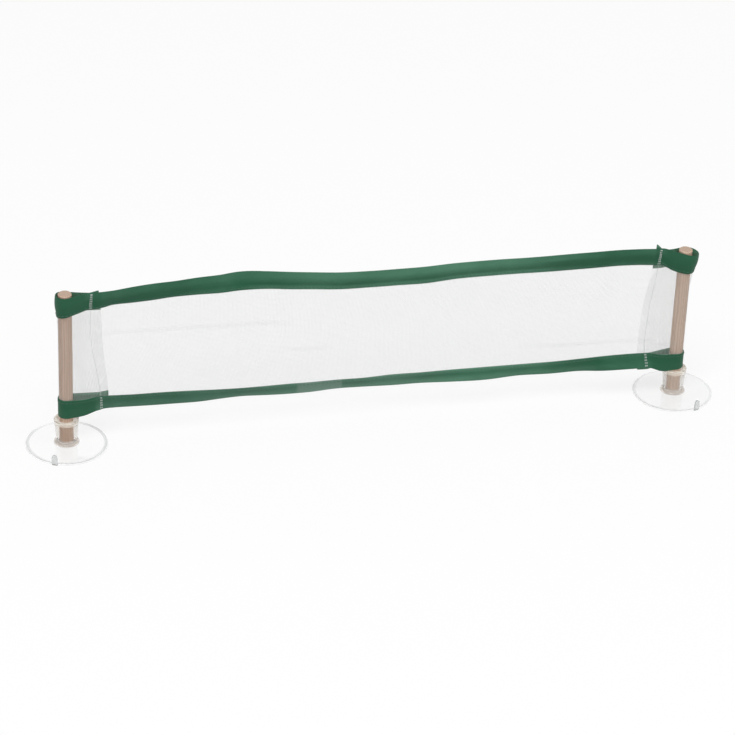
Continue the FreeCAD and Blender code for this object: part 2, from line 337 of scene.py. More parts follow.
@dataclass(frozen=True)
class Crease:
    """An old fold line that runs along the mesh.

    It starts and ends at places along the cloth, lies at a height on the flat
    cloth, and falls by so much on its way. The ramp is the length in which it
    comes and goes, the spread is its width in the cloth's shape, and the shade
    runs from full at the first to none at the second distance from its line.
    """

    start: float
    end: float
    height: float
    fall: float
    strength: float
    ramp: float = 20.0
    spread: float = 1.5
    shade: tuple[float, float] = (0.3, 2.8)

    def soft_line(self, along: np.ndarray, levels: np.ndarray) -> np.ndarray:
        """Return how strong the crease is, as levels by places.

        Args:
            along: Places along the cloth.
            levels: Heights on the flat cloth.

        Returns:
            A share from 0 to 1 for each point.
        """
        risen = np.clip((along - self.start) / self.ramp, 0, 1)
        inside = risen * np.clip((self.end - along) / self.ramp, 0, 1)
        line = self.height - self.fall * (along - self.start) / (self.end - self.start)
        off = (levels[:, None] - line[None, :]) / self.spread
        return inside[None, :] * np.exp(-(off**2)) * self.strength


@dataclass(frozen=True)
class NetMeshFinish:
    """Fine white knitted mesh: threads with open cells between them.

    The sway is how far a thread swings aside in a cell, as a share of it, the
    looseness how far the cells wander, and the knot how much larger than a
    thread's section a crossing is. The strands are the twist of the yarn along
    and across the cloth, in radians to a millimetre.
    """

    cell: float = 0.92
    thread: float = 0.106
    sway: float = 0.13
    looseness: float = 0.32
    knot: float = 3.2
    crease_cover: float = 0.14
    strands: tuple[float, float] = (38.0, 23.0)
    # Light and grey are a white yarn written darker, painted shade for the shade on its thin round
    # threads; the shadow is painted shade in the twist of the yarn
    light: Colour = (229, 230, 230)
    grey: Colour = (209, 211, 210)
    shadow: Colour = (182, 184, 183)
    creases: tuple[Crease, ...] = (
        Crease(start=66.0, end=206.0, height=61.5, fall=4.5, strength=1.0),
        Crease(start=368.0, end=492.0, height=25.5, fall=5.4, strength=1.0),
        Crease(start=190.0, end=236.0, height=38.0, fall=1.0, strength=0.6),
    )

    def material(self) -> bpy.types.Material:
        """Make the mesh material.

        Returns:
            The material, see-through between its threads.
        """
        board = Board("white_mesh")
        along, across, place = board.cloth_place()
        sway = (across * (math.pi / self.cell)).sine() * (self.sway * self.cell)
        loose = board.noise(place, 240.0, 1.0) * self.looseness - self.looseness / 2
        off_wale = abs(((along + sway + loose) / self.cell).fraction() - 0.5) * self.cell
        off_course = abs(((across + loose) / self.cell).fraction() - 0.5) * self.cell
        half = self.thread / 2
        wale = 1 - off_wale.between(half * 0.7, half * 1.3)
        course = 1 - off_course.between(half * 0.6, half * 1.2)
        off_knot = off_wale * off_wale + off_course * off_course
        knot = 1 - off_knot.between(half * half, self.knot * half * half)
        threads = wale.larger(course).larger(knot)
        crease = self.crease(along, across)
        cover = threads.larger(crease * self.crease_cover)
        round_wale = wale * (1 - off_wale / half * 0.5)
        round_thread = round_wale + course * (1 - off_course / half * 0.5)
        twist = along * self.strands[0] + across * self.strands[1]
        strands = twist.sine() * 0.5 + 0.5
        shade = board.noise(place, 60.0, 2.0)
        colour = board.mix(shade, linear(*self.light), linear(*self.grey))
        colour = board.mix(strands * 0.3, colour, linear(*self.shadow))
        return board.finish(
            board.principled(
                {
                    "Base Color": colour,
                    "Roughness": 0.62,
                    "Alpha": cover,
                    "Normal": board.bump(round_thread + strands * 0.15, 0.12),
                }
            )
        )

    def crease(self, along: Signal, across: Signal) -> Signal:
        """Return how creased the mesh is at a place.

        Args:
            along: The place along the cloth.
            across: The place across it.

        Returns:
            A share from 0 to 1.
        """
        most = along * 0
        for fold in self.creases:
            slope = fold.fall / (fold.end - fold.start)
            off = abs(across + (along - fold.start) * slope - fold.height)
            past = along.between(fold.end - fold.ramp, fold.end)
            inside = along.between(fold.start, fold.start + fold.ramp) * (1 - past)
            most = most.larger(inside * (1 - off.between(*fold.shade)) * fold.strength)
        return most


@dataclass(frozen=True)
class BindingTapeFinish:
    """Matte green woven tape, with painted light along its fold and paler on the middle of the net.

    The width is the folded tape's, and the seams are the places of the sleeve
    seams along the cloth. The lift is how much paler the whole tape is, the
    seam shade how dark the painted shade beside the sleeve seams is, and the
    middle shade how strong the painted shade along its middle is. The tape is
    dusty up to one place, and paler in a patch between two. The rib is the pitch of its weave.
    """

    width: float
    seams: tuple[float, float]
    lift: float
    seam_shade: float
    middle_shade: float
    dusty: float
    pale_patch: tuple[float, float]
    rib: float = 0.62
    core: Colour = (38, 98, 70)
    # The paler green serves both real fading and painted light
    faded_and_lit: Colour = (98, 148, 122)
    # The dark green is the tape's own darker tone and also the colour of its painted shade
    dark: Colour = (23, 76, 51)
    # The inner green is painted light on the faces inside the loops
    inner: Colour = (108, 156, 128)
    dust: Colour = (122, 146, 134)

    def material(self, name: str) -> bpy.types.Material:
        """Make the tape material.

        Args:
            name: The material's name.

        Returns:
            The material.
        """
        board = Board(name)
        along, across, place = board.cloth_place()
        turn = 2 * math.pi / self.rib
        weave = (along * turn).sine() * (across * turn * 0.8).sine()
        patches = board.noise(place, 26.0, 3.0, 0.55)
        drift = board.noise(board.vector(along * 0.022, across * 0.05, 1.7), 1.0, 3.0, 0.55)
        slubs = board.noise(board.vector(along * 0.07, across * 1.3, 0.0), 1.0, 3.0, 0.6)
        fuzz = board.noise(place, 1900.0, 2.0, 0.6)
        off_fold = abs(across - self.width)
        left, right = self.seams
        loops = (1 - along.between(left - 5, left)).larger(along.between(right, right + 5))

        # Where it is paler: painted light on the upper band by the fold, which faces up, and on the
        # lower band, which takes light from the table; real fading at the open edge; paler on the
        # net's middle; much less of it all in the loops
        painted_top_light = 1 - off_fold.between(self.width * 0.25, self.width * 0.72)
        lower = off_fold.between(self.width * 0.66, self.width * 0.9)
        rims = 1 - abs(off_fold - self.width).between(0.1, 0.9)
        middle = along.between(left + 60, left + 250)
        middle = middle * (1 - along.between(right - 120, right - 30))
        paler_lower_stretch = along.between(left + 105, left + 125)
        paler_lower_stretch = paler_lower_stretch * (1 - along.between(left + 300, left + 335))
        fading_and_painted_light = painted_top_light * 0.2 + lower * (paler_lower_stretch * 0.22 + 0.08)
        fading_and_painted_light = fading_and_painted_light + middle * (0.13 + painted_top_light * 0.2 + lower * 0.12) + self.lift
        fading_and_painted_light = fading_and_painted_light + (drift - 0.5) * 0.6 + (patches - 0.5) * 0.3
        fading_and_painted_light = fading_and_painted_light + rims * 0.16 * patches.between(0.3, 0.62)
        fading_and_painted_light = fading_and_painted_light * (1 - loops * 0.75)

        # Painted shade: along its middle, where the puffed tape turns from the light, more so
        # towards the net's right end, in the loops round the posts, and in the hollows beside the
        # sleeve seams
        painted_middle_shade = 1 - abs(off_fold / self.width - 0.52).between(0.08, 0.32)
        shade = (1 - along.between(left + 100, left + 125)) * 0.12
        shade = shade + along.between(left + 305, left + 330) * 0.6
        painted_shade = painted_middle_shade * (shade + 0.12) * (1 - loops) * self.middle_shade + loops * 0.22
        painted_shade = painted_shade + self.seam_shade * self.beside_seams(along)

        # Paler: painted light on the faces inside the loops, a pale patch, and grey where it is
        # dusty
        inside = loops * across.between(self.width, self.width + 0.6)
        # Paler between two places along the tape
        pale_patch = along.between(self.pale_patch[0], self.pale_patch[0] + 5)
        pale_patch = pale_patch * (1 - along.between(self.pale_patch[1] - 2, self.pale_patch[1]))
        grey = (1 - along.between(self.dusty - 25, self.dusty + 25)) * (1 - loops)
        grey = grey * (along.between(left + 80, left + 120) * 0.1 + 0.12)
        colour = board.mix((slubs - 0.3) * 0.9, linear(*self.dark), linear(*self.core))
        colour = board.mix(fading_and_painted_light.larger(0.0), colour, linear(*self.faded_and_lit))
        colour = board.mix(painted_shade * 0.9, colour, linear(*self.dark))
        colour = board.mix(grey.larger(pale_patch * 0.68), colour, linear(*self.dust))
        colour = board.mix(inside * 0.6, colour, linear(*self.inner))
        # Painted shade in the weave's hollows, and random darker fuzz
        colour = board.mix((1 - weave) * 0.14 + (fuzz - 0.4) * 0.2, colour, linear(*self.dark))
        height = weave * 0.5 + slubs * 0.5 + fuzz * 0.35
        return board.finish(
            board.principled(
                {
                    "Base Color": colour,
                    "Roughness": 0.74 + fuzz * 0.2,
                    "Sheen Weight": 0.12,
                    "Sheen Roughness": 0.45,
                    "Specular IOR Level": 0.3,
                    "Normal": board.bump(height, 0.07),
                }
            )
        )

    def beside_seams(self, along: Signal) -> Signal:
        """Find the painted shade of the narrow hollows that the sleeve seams pull into the tape.

        Args:
            along: The place along the cloth.

        Returns:
            A share from 0 to 1, which is 1 just beside a seam, towards the span.
        """
        left, right = self.seams
        first = 1 - abs(along - (left + 5.5)).between(1.0, 4.5)
        return first.larger(1 - abs(along - (right - 4.0)).between(0.4, 1.3))


@dataclass(frozen=True)
class ThreadFinish:
    """Twisted sewing thread."""

    name: str
    light: Colour
    dark: Colour

    def material(self) -> bpy.types.Material:
        """Make the thread material.

        Returns:
            The material, with the thread's plies wound round it.
        """
        board = Board(self.name)
        along, across, place = board.cloth_place()
        plies = ((along * 9.0) + (across * 2 * math.pi)).sine() * 0.5 + 0.5
        hairs = board.noise(place, 3000.0, 2.0)
        # The dark colour between the plies is painted shade in the twist
        colour = board.mix(plies * 0.7 + hairs * 0.3, linear(*self.dark), linear(*self.light))
        return board.finish(
            board.principled(
                {
                    "Base Color": colour,
                    "Roughness": 0.55,
                    "Sheen Weight": 0.15,
                    "Normal": board.bump(plies, 0.05),
                }
            )
        )


@dataclass(frozen=True)
class DowelFinish:
    """Plain sanded dowel: straight grain down its side, and end grain on top.

    The pith is how far the middle of the tree lies left of the dowel's axis
    and in front of it, and the ring is the pitch of its growth rings.
    """

    light: Colour = (200, 171, 150)
    brown: Colour = (161, 130, 110)
    pore: Colour = (118, 90, 72)
    stain: Colour = (172, 132, 108)
    end_light: Colour = (202, 180, 160)
    end_brown: Colour = (152, 122, 101)
    worn_edge: Colour = (212, 190, 172)
    pith: tuple[float, float] = (11.0, 6.5)
    ring: float = 1.55

    def material(self, name: str, centre: float, head: float) -> bpy.types.Material:
        """Return the wood of one post.

        Args:
            name: The material's name.
            centre: Where the post's axis is, along the net.
            head: The height of its top.

        Returns:
            The material.
        """
        board = Board(name)
        x, y, z, place = board.body_place()
        drift = board.noise(board.vector(0.0, 0.0, z * 0.02), 1.0, 1.0) * 1.6
        wide = board.noise(board.vector(x * 0.45, y * 0.45, z * 0.012), 1.0, 2.0)
        pith_x = x - (centre - self.pith[0])
        pith_y = y + self.pith[1]
        from_pith = (pith_x * pith_x + pith_y * pith_y) ** 0.5 + drift + wide * 1.3
        rings = (from_pith * (2 * math.pi / self.ring)).sine() * 0.5 + 0.5
        fibres = board.noise(board.vector(x * 3.2, y * 3.2, z * 0.045), 1.0, 4.0, 0.62)
        fine = board.noise(board.vector(x * 9.0, y * 9.0, z * 0.16), 1.0, 2.0, 0.6)
        pores = fine.between(0.60, 0.70) * fibres.between(0.35, 0.6)
        grain = rings * 0.55 + fibres * 0.5 - 0.12
        colour = board.mix(grain, linear(*self.light), linear(*self.brown))
        colour = board.mix(pores * 0.55, colour, linear(*self.pore))
        blotch = board.noise(board.vector(x * 0.09, y * 0.09, z * 0.035), 1.0, 2.0)
        colour = board.mix(blotch.between(0.42, 0.7) * 0.22, colour, linear(*self.stain))
        facing = board.signal("ShaderNodeNewGeometry", "Normal", {}, {})
        up = board.node("ShaderNodeSeparateXYZ", {}, {"Vector": facing}).outputs[2]
        on_end = Signal(board, up).between(0.85, 0.97) * z.between(head - 1.0, head - 0.2)
        dots = board.noise(board.vector(x * 5.5, y * 5.5, 0.0), 1.0, 3.0, 0.65)
        end_grain = rings * 0.4 + dots.between(0.45, 0.62) * 0.5
        end_colour = board.mix(end_grain, linear(*self.end_light), linear(*self.end_brown))
        colour = board.mix(on_end, colour, end_colour)
        edge = z.between(head - 1.3, head - 0.5) * (1 - z.between(head - 0.4, head - 0.1))
        colour = board.mix(edge * 0.35, colour, linear(*self.worn_edge))
        height = fibres * 0.6 + pores * -0.9 + on_end * dots * 1.2
        return board.finish(
            board.principled(
                {
                    "Base Color": colour,
                    "Roughness": 0.5 + fibres * 0.22,
                    "Specular IOR Level": 0.35,
                    "Normal": board.bump(height, 0.09),
                }
            )
        )


@dataclass(frozen=True)
class ClearVinylFinish:
    """Soft clear vinyl, glossy, a little milky where it is thick, with faint flow marks.

    The rim is the cup's outer radius and the mouth the socket's height. The
    body, the edge seen at a slant and the thick neck are clear; the grey of the
    edge seen at a slant is painted shade. The other colours are those of the
    milky places, but the tab's grey is painted shade, and so is the seal's extra
    grey on the cup's left and right sides.
    """

    span: float = POST_SPAN
    rim: float = 28.55
    mouth: float = SOCKET_MOUTH
    edge: Colour = (239, 242, 242)
    body: Colour = (254, 254, 254)
    neck: Colour = (229, 225, 220)
    seal_milk_and_shade: Colour = (216, 218, 218)
    milk_edge: Colour = (254, 254, 254)
    # The tab's grey is painted shade
    tab_shade: Colour = (198, 202, 202)
    milk_base: Colour = (214, 206, 198)
    milk_lip: Colour = (240, 229, 213)

    def material(self) -> bpy.types.Material:
        """Make the see-through plastic.

        Returns:
            The material.
        """
        board = Board("clear_pvc")
        x, y, z, place = board.body_place()
        flow = board.noise(place, 90.0, 2.0, 0.5)
        scuffs = board.noise(board.vector(x * 0.5, y * 3.0, z * 1.2), 1.0, 3.0, 0.6)
        off_axis = abs(x) - self.span / 2
        out = (off_axis * off_axis + y * y) ** 0.5
        near = 1 - out.between(8.3, 8.9)
        neck = near * z.between(2.4, 4.4)
        lip = near * z.between(self.mouth - 3.6, self.mouth - 2.4)
        base = near * (1 - z.between(4.0, 6.6))
        right = x.between(-1.0, 1.0)
        # The seal ring is milky all round; its extra grey on the cup's left and right sides is
        # painted shade
        sides = (off_axis / out) ** 2
        seal = out.between(self.rim - 3.4, self.rim - 1.6)
        seal = seal * (sides * 0.42 + 0.12) * (1 - right * 0.45)
        edge = out.between(self.rim - 0.7, self.rim - 0.35)
        tab = out.between(self.rim, self.rim + 0.3)
        cloud = right * 0.08
        # Painted shade: the plastic seen at a slant is tinted grey
        facing = board.signal("ShaderNodeLayerWeight", "Facing", {}, {"Blend": 0.35})
        colour = board.mix(facing.between(0.7, 1.0), linear(*self.body), linear(*self.edge))
        colour = board.mix(neck, colour, linear(*self.neck))
        clear = board.principled(
            {
                "Base Color": colour,
                "Roughness": 0.04 + scuffs.between(0.55, 0.8) * 0.12,
                "IOR": 1.45,
                "Transmission Weight": 1.0,
                "Normal": board.bump(flow, 0.25, 0.5),
            }
        )
        milk = board.mix(edge, linear(*self.seal_milk_and_shade), linear(*self.milk_edge))
        # The tab's grey is painted shade
        milk = board.mix(tab, milk, linear(*self.tab_shade))
        milk = board.mix(base, milk, linear(*self.milk_base))
        milk = board.mix(lip, milk, linear(*self.milk_lip))
        milky = board.principled({"Base Color": milk, "Roughness": 0.35})
        haze = (lip * 0.5).larger(base * 0.42).larger(seal)
        haze = haze.larger(edge * (1 - tab) * 0.9).larger(tab * 0.5)
        haze = haze.larger(cloud) * (0.75 + scuffs * 0.5)
        solid = board.blend(haze, clear, milky)

        # Light on its way to the table and the net passes through
        through = {"Color": (0.98, 0.98, 0.98, 1.0)}
        transparent = board.signal("ShaderNodeBsdfTransparent", 0, {}, through)
        light = board.rays("Is Shadow Ray", "Is Diffuse Ray")
        return board.finish(board.blend(light, solid, transparent))


@dataclass(frozen=True)
class TableFinish:
    """Pale table top, white to the eye, that keeps a faint shadow.

    The glow is the share of its own white in what the eye sees of it.
    """

    glow: float = 0.75
    pale: Colour = (246, 246, 246)
    paler: Colour = (248, 248, 248)

    def material(self) -> bpy.types.Material:
        """Make the table's surface.

        Returns:
            The material.
        """
        board = Board("pale_table")
        grain = board.noise(board.body_place()[3], 35.0, 2.0)
        colour = board.mix(grain, linear(*self.pale), linear(*self.paler))
        top = board.principled(
            {"Base Color": colour, "Roughness": 0.85, "Specular IOR Level": 0.1}
        )
        glowing = {"Color": (1, 1, 1, 1), "Strength": 1.0}
        white = board.signal("ShaderNodeEmission", 0, {}, glowing)
        seen = board.rays("Is Camera Ray", "Is Glossy Ray", "Is Transmission Ray")
        return board.finish(board.blend(seen * self.glow, top, white))


# Pieces


def add_piece(
    name: str,
    points: np.ndarray,
    faces: Sequence[Sequence[int]],
    material: bpy.types.Material,
    places: np.ndarray | None = None,
) -> bpy.types.Object:
    """Make one mesh object and put it in the scene.

    Args:
        name: The piece's name.
        points: Its points in millimetres, one row each.
        faces: The point numbers of each face.
        material: Its finish.
        places: The cloth's own place of each point in millimetres, along and across.

    Returns:
        The new object.
    """
    mesh = bpy.data.meshes.new(name)
    mesh.from_pydata((points * MM).tolist(), [], [list(map(int, face)) for face in faces])
    if places is not None:
        layer = mesh.uv_layers.new(name="cloth")
        corners = np.empty(len(mesh.loops), np.int32)
        mesh.loops.foreach_get("vertex_index", corners)
        layer.uv.foreach_set("vector", (places[corners] * MM).astype(np.float32).ravel())
    mesh.materials.append(material)
    mesh.shade_smooth()
    mesh.validate()
    piece = bpy.data.objects.new(name, mesh)
    bpy.context.scene.collection.objects.link(piece)
    return piece


def report(piece: bpy.types.Object, what: str) -> None:
    """Log one finished piece."""
    log.info("%s: %s, %d faces", piece.name, what, len(piece.data.polygons))


def strip_faces(rows: int, columns: int) -> np.ndarray:
    """Return the quads of a grid of points, numbered row by row."""
    low = (np.arange(rows - 1)[:, None] * columns + np.arange(columns - 1)).ravel()
    return np.stack([low, low + 1, low + 1 + columns, low + columns], 1)


# How the net hangs


def smooth_run(knots: np.ndarray, values: np.ndarray, at: np.ndarray) -> np.ndarray:
    """Return values on a smooth run through given ones, which is level at both ends.

    Args:
        knots: Where values are given, in order.
        values: One row of values for each knot.
        at: Where values are wanted.

    Returns:
        One row of values for each wanted place.
    """
    slopes = np.diff(values, axis=0) / np.diff(knots)[:, None]
    tangents = np.vstack([slopes[:1] * 0, (slopes[:-1] + slopes[1:]) / 2, slopes[-1:] * 0])
    place = np.clip(np.searchsorted(knots, at, side="right") - 1, 0, len(knots) - 2)
    width = (knots[place + 1] - knots[place])[:, None]
    t = np.clip((at - knots[place])[:, None] / width, 0, 1)
    a = 2 * t**3 - 3 * t**2 + 1
    b = (t**3 - 2 * t**2 + t) * width
    c = -2 * t**3 + 3 * t**2
    d = (t**3 - t**2) * width
    return a * values[place] + b * tangents[place] + c * values[place + 1] + d * tangents[place + 1]


class End(Enum):
    """An end of the net, with the sign of its side."""

    LEFT = -1
    RIGHT = 1


@dataclass(frozen=True)
class SleeveFit:
    """How the cloth sits round one post.

    A row of four says how far the foot, the mesh's foot, the mesh's head and the
    head lie above their places on the flat cloth. The rows follow the cloth from
    the middle of its front wall round the post to the flap's end. The reaches
    are distances from the post's axis to the seam and to the flap's end, at the
    drape's stations. The stand-out is the room at the mesh's head and the head.
    """

    middle: Rises
    front: Rises
    end: Rises
    back: Rises
    seam: Rises
    flap: Rises
    reach: tuple[float, ...]
    flap_reach: tuple[float, ...]
    stand_out: tuple[float, float]

    @property
    def rows(self) -> tuple[Rises, ...]:
        """The six rows in their order along the cloth."""
        return self.middle, self.front, self.end, self.back, self.seam, self.flap


@dataclass(frozen=True)
class Drape:
    """Where every point of the hanging cloth lies.

    A point is named by its number on the net's path, which runs from one free
    flap round a post, over the span, round the other post to the other flap,
    and by its level, the height on the flat cloth. The stations are levels. The
    slack depth is how far below the mesh's head the cloth starts to stand out
    from a post. The calm share is how much of the span's length the waves take
    to die out at each end, and the edge waves are the share of them that the
    cloth's edges have, to which the middle waves are added in its middle.
    """

    span: float = POST_SPAN
    post_radius: float = 4.75
    foot: float = 23.0
    bottom_tape: float = 11.0
    mesh: float = 72.0
    top_tape: float = 13.0
    between_seams: float = 395.0
    clearance: float = 0.16
    layer_gap: float = 0.12
    tape_thickness: float = 0.76
    mesh_thickness: float = 0.25
    flap_lift: float = 0.7
    slack_depth: float = 16.0
    calm_share: float = 0.08
    edge_waves: float = 0.22
    middle_waves: float = 0.65
    tape_fade: float = 1.6
    stations: tuple[float, ...] = (0.0, 11.0, 20.0, 38.0, 50.0, 83.0, 96.0)
    left: SleeveFit = SleeveFit(
        middle=(0.0, 1.8, -1.4, -0.6),
        front=(0.2, 3.4, -2.8, -1.3),
        end=(0.4, 3.4, -4.0, -0.9),
        back=(0.6, 3.2, -2.6, -1.6),
        seam=(2.2, 4.7, -1.0, -0.3),
        flap=(3.4, 5.3, -1.6, 0.6),
        reach=(23.0, 22.6, 21.4, 18.8, 16.8, 15.8, 16.3),
        flap_reach=(29.3, 29.3, 28.7, 26.8, 25.8, 24.2, 22.8),
        stand_out=(0.4, 0.9),
    )
    right: SleeveFit = SleeveFit(
        middle=(-2.2, -0.7, -4.2, -2.4),
        front=(-1.4, 0.2, -6.5, -4.7),
        end=(-1.0, 0.2, -6.0, -5.8),
        back=(-0.6, 0.0, -5.0, -4.2),
        seam=(-0.4, -0.5, -3.2, -0.9),
        flap=(-0.6, -0.6, -3.4, 2.8),
        reach=(21.1, 21.8, 23.0, 22.1, 21.6, 17.9, 17.0),
        flap_reach=(28.6, 28.4, 28.9, 28.1, 27.7, 22.9, 21.4),
        stand_out=(1.6, 4.1),
    )
    flap_steps: int = 5
    wall_steps: int = 10
    round_steps: int = 22
    span_steps: int = 300

    # Height of a wave, its length to a radian, and how many radians it moves on
    # from the foot to the head and at the start
    waves: tuple[Rises, ...] = (
        (0.55, 13.7, 3.1, 0.0),
        (0.40, 7.9, -5.0, 1.7),
        (0.35, 23.0, 7.0, 0.6),
    )

    # Share of the way between the seams; how far the mesh foot lies above its
    # flat height; how far the mesh head, the top tape's upper edge and the
    # bottom tape's lower edge stand back there
    folds: tuple[tuple[float, float, float, float, float], ...] = (
        (0.000, 2.0, -1.4, -2.2, -0.5),
        (0.014, 2.0, -0.1, -1.9, 1.4),
        (0.030, 1.7, 2.6, -0.7, 2.1),
        (0.065, 1.1, 3.5, 1.8, 2.5),
        (0.100, 0.8, 5.0, 4.1, 2.2),
        (0.140, 0.4, 8.0, 6.2, 2.4),
        (0.180, 0.0, 8.1, 8.3, 2.9),
        (0.220, -0.7, 7.4, 9.9, 4.6),
        (0.260, -1.2, 9.4, 14.7, 5.6),
        (0.300, -1.1, 8.9, 10.8, 4.9),
        (0.340, -0.9, 5.5, 6.4, 4.1),
        (0.380, -1.1, 3.0, 3.0, 4.3),
        (0.430, -0.7, -0.5, -0.5, 5.1),
        (0.480, -1.1, -1.1, -1.7, 5.0),
        (0.530, -0.4, -0.9, -1.5, 3.5),
        (0.580, -0.5, -1.3, -1.3, 3.5),
        (0.640, -0.2, 1.8, 0.6, 1.8),
        (0.700, -0.2, 2.1, 0.9, 1.0),
        (0.760, -0.7, 2.5, 0.7, 3.0),
        (0.820, -0.6, 1.7, 0.6, 2.2),
        (0.880, -0.1, 1.7, 0.7, 1.5),
        (0.930, 0.7, 2.1, 1.1, -3.2),
        (0.970, 0.7, 1.1, 0.1, -4.5),
        (1.000, 0.4, -0.7, -1.2, -3.8),
    )

    @property
    def mesh_foot(self) -> float:
        """Height of the mesh's lower edge above the table."""
        return self.foot + self.bottom_tape

    @property
    def cloth_height(self) -> float:
        """Height of the flat cloth, from edge to edge of its tapes."""
        return self.bottom_tape + self.mesh + self.top_tape

    def reach(self, reaches: tuple[float, ...], level: float) -> float:
        """Return a reach at a level of the cloth, from its values at the stations."""
        stations = np.array(self.stations)
        return float(smooth_run(stations, np.array(reaches)[:, None], np.array([level]))[0, 0])

    def span_points(self, level: float) -> np.ndarray:
        """Lay one level of the span, from seam to seam.

        Args:
            level: The level of the flat cloth.

        Returns:
            Its points, one row each.
        """
        start = self.reach(self.left.reach, level) - self.span / 2
        stop = self.span / 2 - self.reach(self.right.reach, level)
        x = np.linspace(start, stop, self.span_steps + 1)
        share = np.clip(x / self.between_seams + 0.5, 0, 1)
        table = np.array(self.folds)
        rise, mesh_back, tape_back, foot_back = smooth_run(table[:, 0], table[:, 1:], share).T
        mesh_height = np.sqrt(self.mesh**2 - mesh_back**2)
        lean = tape_back - mesh_back
        if level <= self.bottom_tape:
            down = (self.bottom_tape - level) / self.bottom_tape
            y = foot_back * down
            z = self.mesh_foot + rise - np.sqrt(self.bottom_tape**2 - foot_back**2) * down
        elif level <= self.bottom_tape + self.mesh:
            up = (level - self.bottom_tape) / self.mesh
            y = mesh_back * up
            z = self.mesh_foot + rise + (mesh_height - rise) * up
        else:
            up = (level - self.bottom_tape - self.mesh) / self.top_tape
            y = mesh_back + lean * up
            z = self.mesh_foot + mesh_height + np.sqrt(self.top_tape**2 - lean**2) * up
        return np.stack([x, y + self.ripple(x, share, level), z], 1)

    def ripple(self, x: np.ndarray, share: np.ndarray, level: float) -> np.ndarray:
        """Find the small waves of the loose cloth, which die out at the seams.

        Args:
            x: Places along the net.
            share: The same as shares of the way between the seams.
            level: The level of the flat cloth.

        Returns:
            How far back the waves put each point.
        """
        calm = np.clip(share / self.calm_share, 0, 1)
        calm = calm * np.clip((1 - share) / self.calm_share, 0, 1)
        height = level / self.cloth_height
        loose = self.edge_waves + self.middle_waves * math.sin(math.pi * height) ** 2
        waves = sum(
            size * np.sin(x / length + lean * height + shift)
            for size, length, lean, shift in self.waves
        )
        return calm * loose * waves

    def thickness(self, level: float) -> float:
        """Find how thick the cloth is taken to be, tape or mesh.

        Args:
            level: The level of the flat cloth.

        Returns:
            Its thickness, with a smooth change beside the tapes.
        """
        into = min(max(self.bottom_tape - level, level - self.bottom_tape - self.mesh), 0.0)
        share = math.exp(into / self.tape_fade)
        return self.mesh_thickness + share * (self.tape_thickness - self.mesh_thickness)

    def rise(self, row: Rises, level: float) -> float:
        """Return the height above the table of a level, from the rises of the cloth's edges."""
        edges = (0.0, self.bottom_tape, self.bottom_tape + self.mesh, self.cloth_height)
        return self.foot + level + float(np.interp(level, edges, row))

    def sleeve_points(
        self, fit: SleeveFit, level: float, seam_y: float, seam_z: float
    ) -> np.ndarray:
        """Return one level of the sleeve round a post, from the front seam to the flap's end.

        Args:
            fit: How the cloth sits round the post.
            level: The level of the flat cloth.
            seam_y: How far back the cloth is at the front seam.
            seam_z: How high it is there.

        Returns:
            Points about the post's axis, with x towards the span.
        """
        thick = self.thickness(level)
        reach = self.reach(fit.reach, level)
        top_edge = self.bottom_tape + self.mesh
        room = (0.0, *fit.stand_out)
        slack = (top_edge - self.slack_depth, top_edge, self.cloth_height)
        stand_out = float(np.interp(level, slack, room))
        snug = self.post_radius + self.clearance
        shift = stand_out / (1 + snug / reach)
        bend = snug * (1 + shift / reach) + thick / 2
        back_y = seam_y + thick + self.layer_gap
        centre = np.array([-shift, 0.0])
        front, back = np.array([reach, seam_y]), np.array([reach, back_y])
        touches = []
        for start, side in ((front, -1), (back, 1)):
            away = centre - start
            distance = float(np.hypot(*away))
            angle = math.atan2(away[1], away[0]) - side * math.asin(bend / distance)
            run = math.sqrt(distance**2 - bend**2)
            touches.append(start + run * np.array([math.cos(angle), math.sin(angle)]))
        steps = np.linspace(0, 1, self.wall_steps + 1)[:, None]
        wall_front = front + (touches[0] - front) * steps
        wall_back = touches[1] + (back - touches[1]) * steps
        first, last = (math.atan2(*(touch - centre)[::-1]) for touch in touches)
        sweep = (last - first) % (2 * math.pi) - 2 * math.pi
        angles = first + sweep * np.linspace(0, 1, self.round_steps + 1)
        turn = centre + bend * np.stack([np.cos(angles), np.sin(angles)], 1)
        out = np.linspace(0, 1, self.flap_steps + 1)
        flap_length = self.reach(fit.flap_reach, level) - reach
        flap = back + np.stack([out * flap_length, out**2 * self.flap_lift], 1)
        plan = np.vstack([wall_front, turn[1:-1], wall_back, flap[1:]])
        far = np.concatenate([[0], np.cumsum(np.hypot(*np.diff(plan, axis=0).T))])
        wall, turn_half = self.wall_steps // 2, self.round_steps // 2
        runs = [0, wall, wall, turn_half, turn_half, self.wall_steps, self.flap_steps]
        stops = np.cumsum(runs)
        heights = np.array([[seam_z]] + [[self.rise(row, level)] for row in fit.rows])
        return np.column_stack([plan, smooth_run(far[stops], heights, far)[:, 0]])

    def line(self, level: float) -> np.ndarray:
        """Lay one level over the whole path, from the left flap to the right flap.

        Args:
            level: The level of the flat cloth.

        Returns:
            Its points, one row each.
        """
        middle = self.span_points(level)
        left = self.sleeve_points(self.left, level, *middle[0, 1:])[::-1]
        right = self.sleeve_points(self.right, level, *middle[-1, 1:]) * (-1, 1, 1)
        off = np.array([self.span / 2, 0, 0])
        return np.vstack([left[:-1] - off, middle, right[1:] + off])

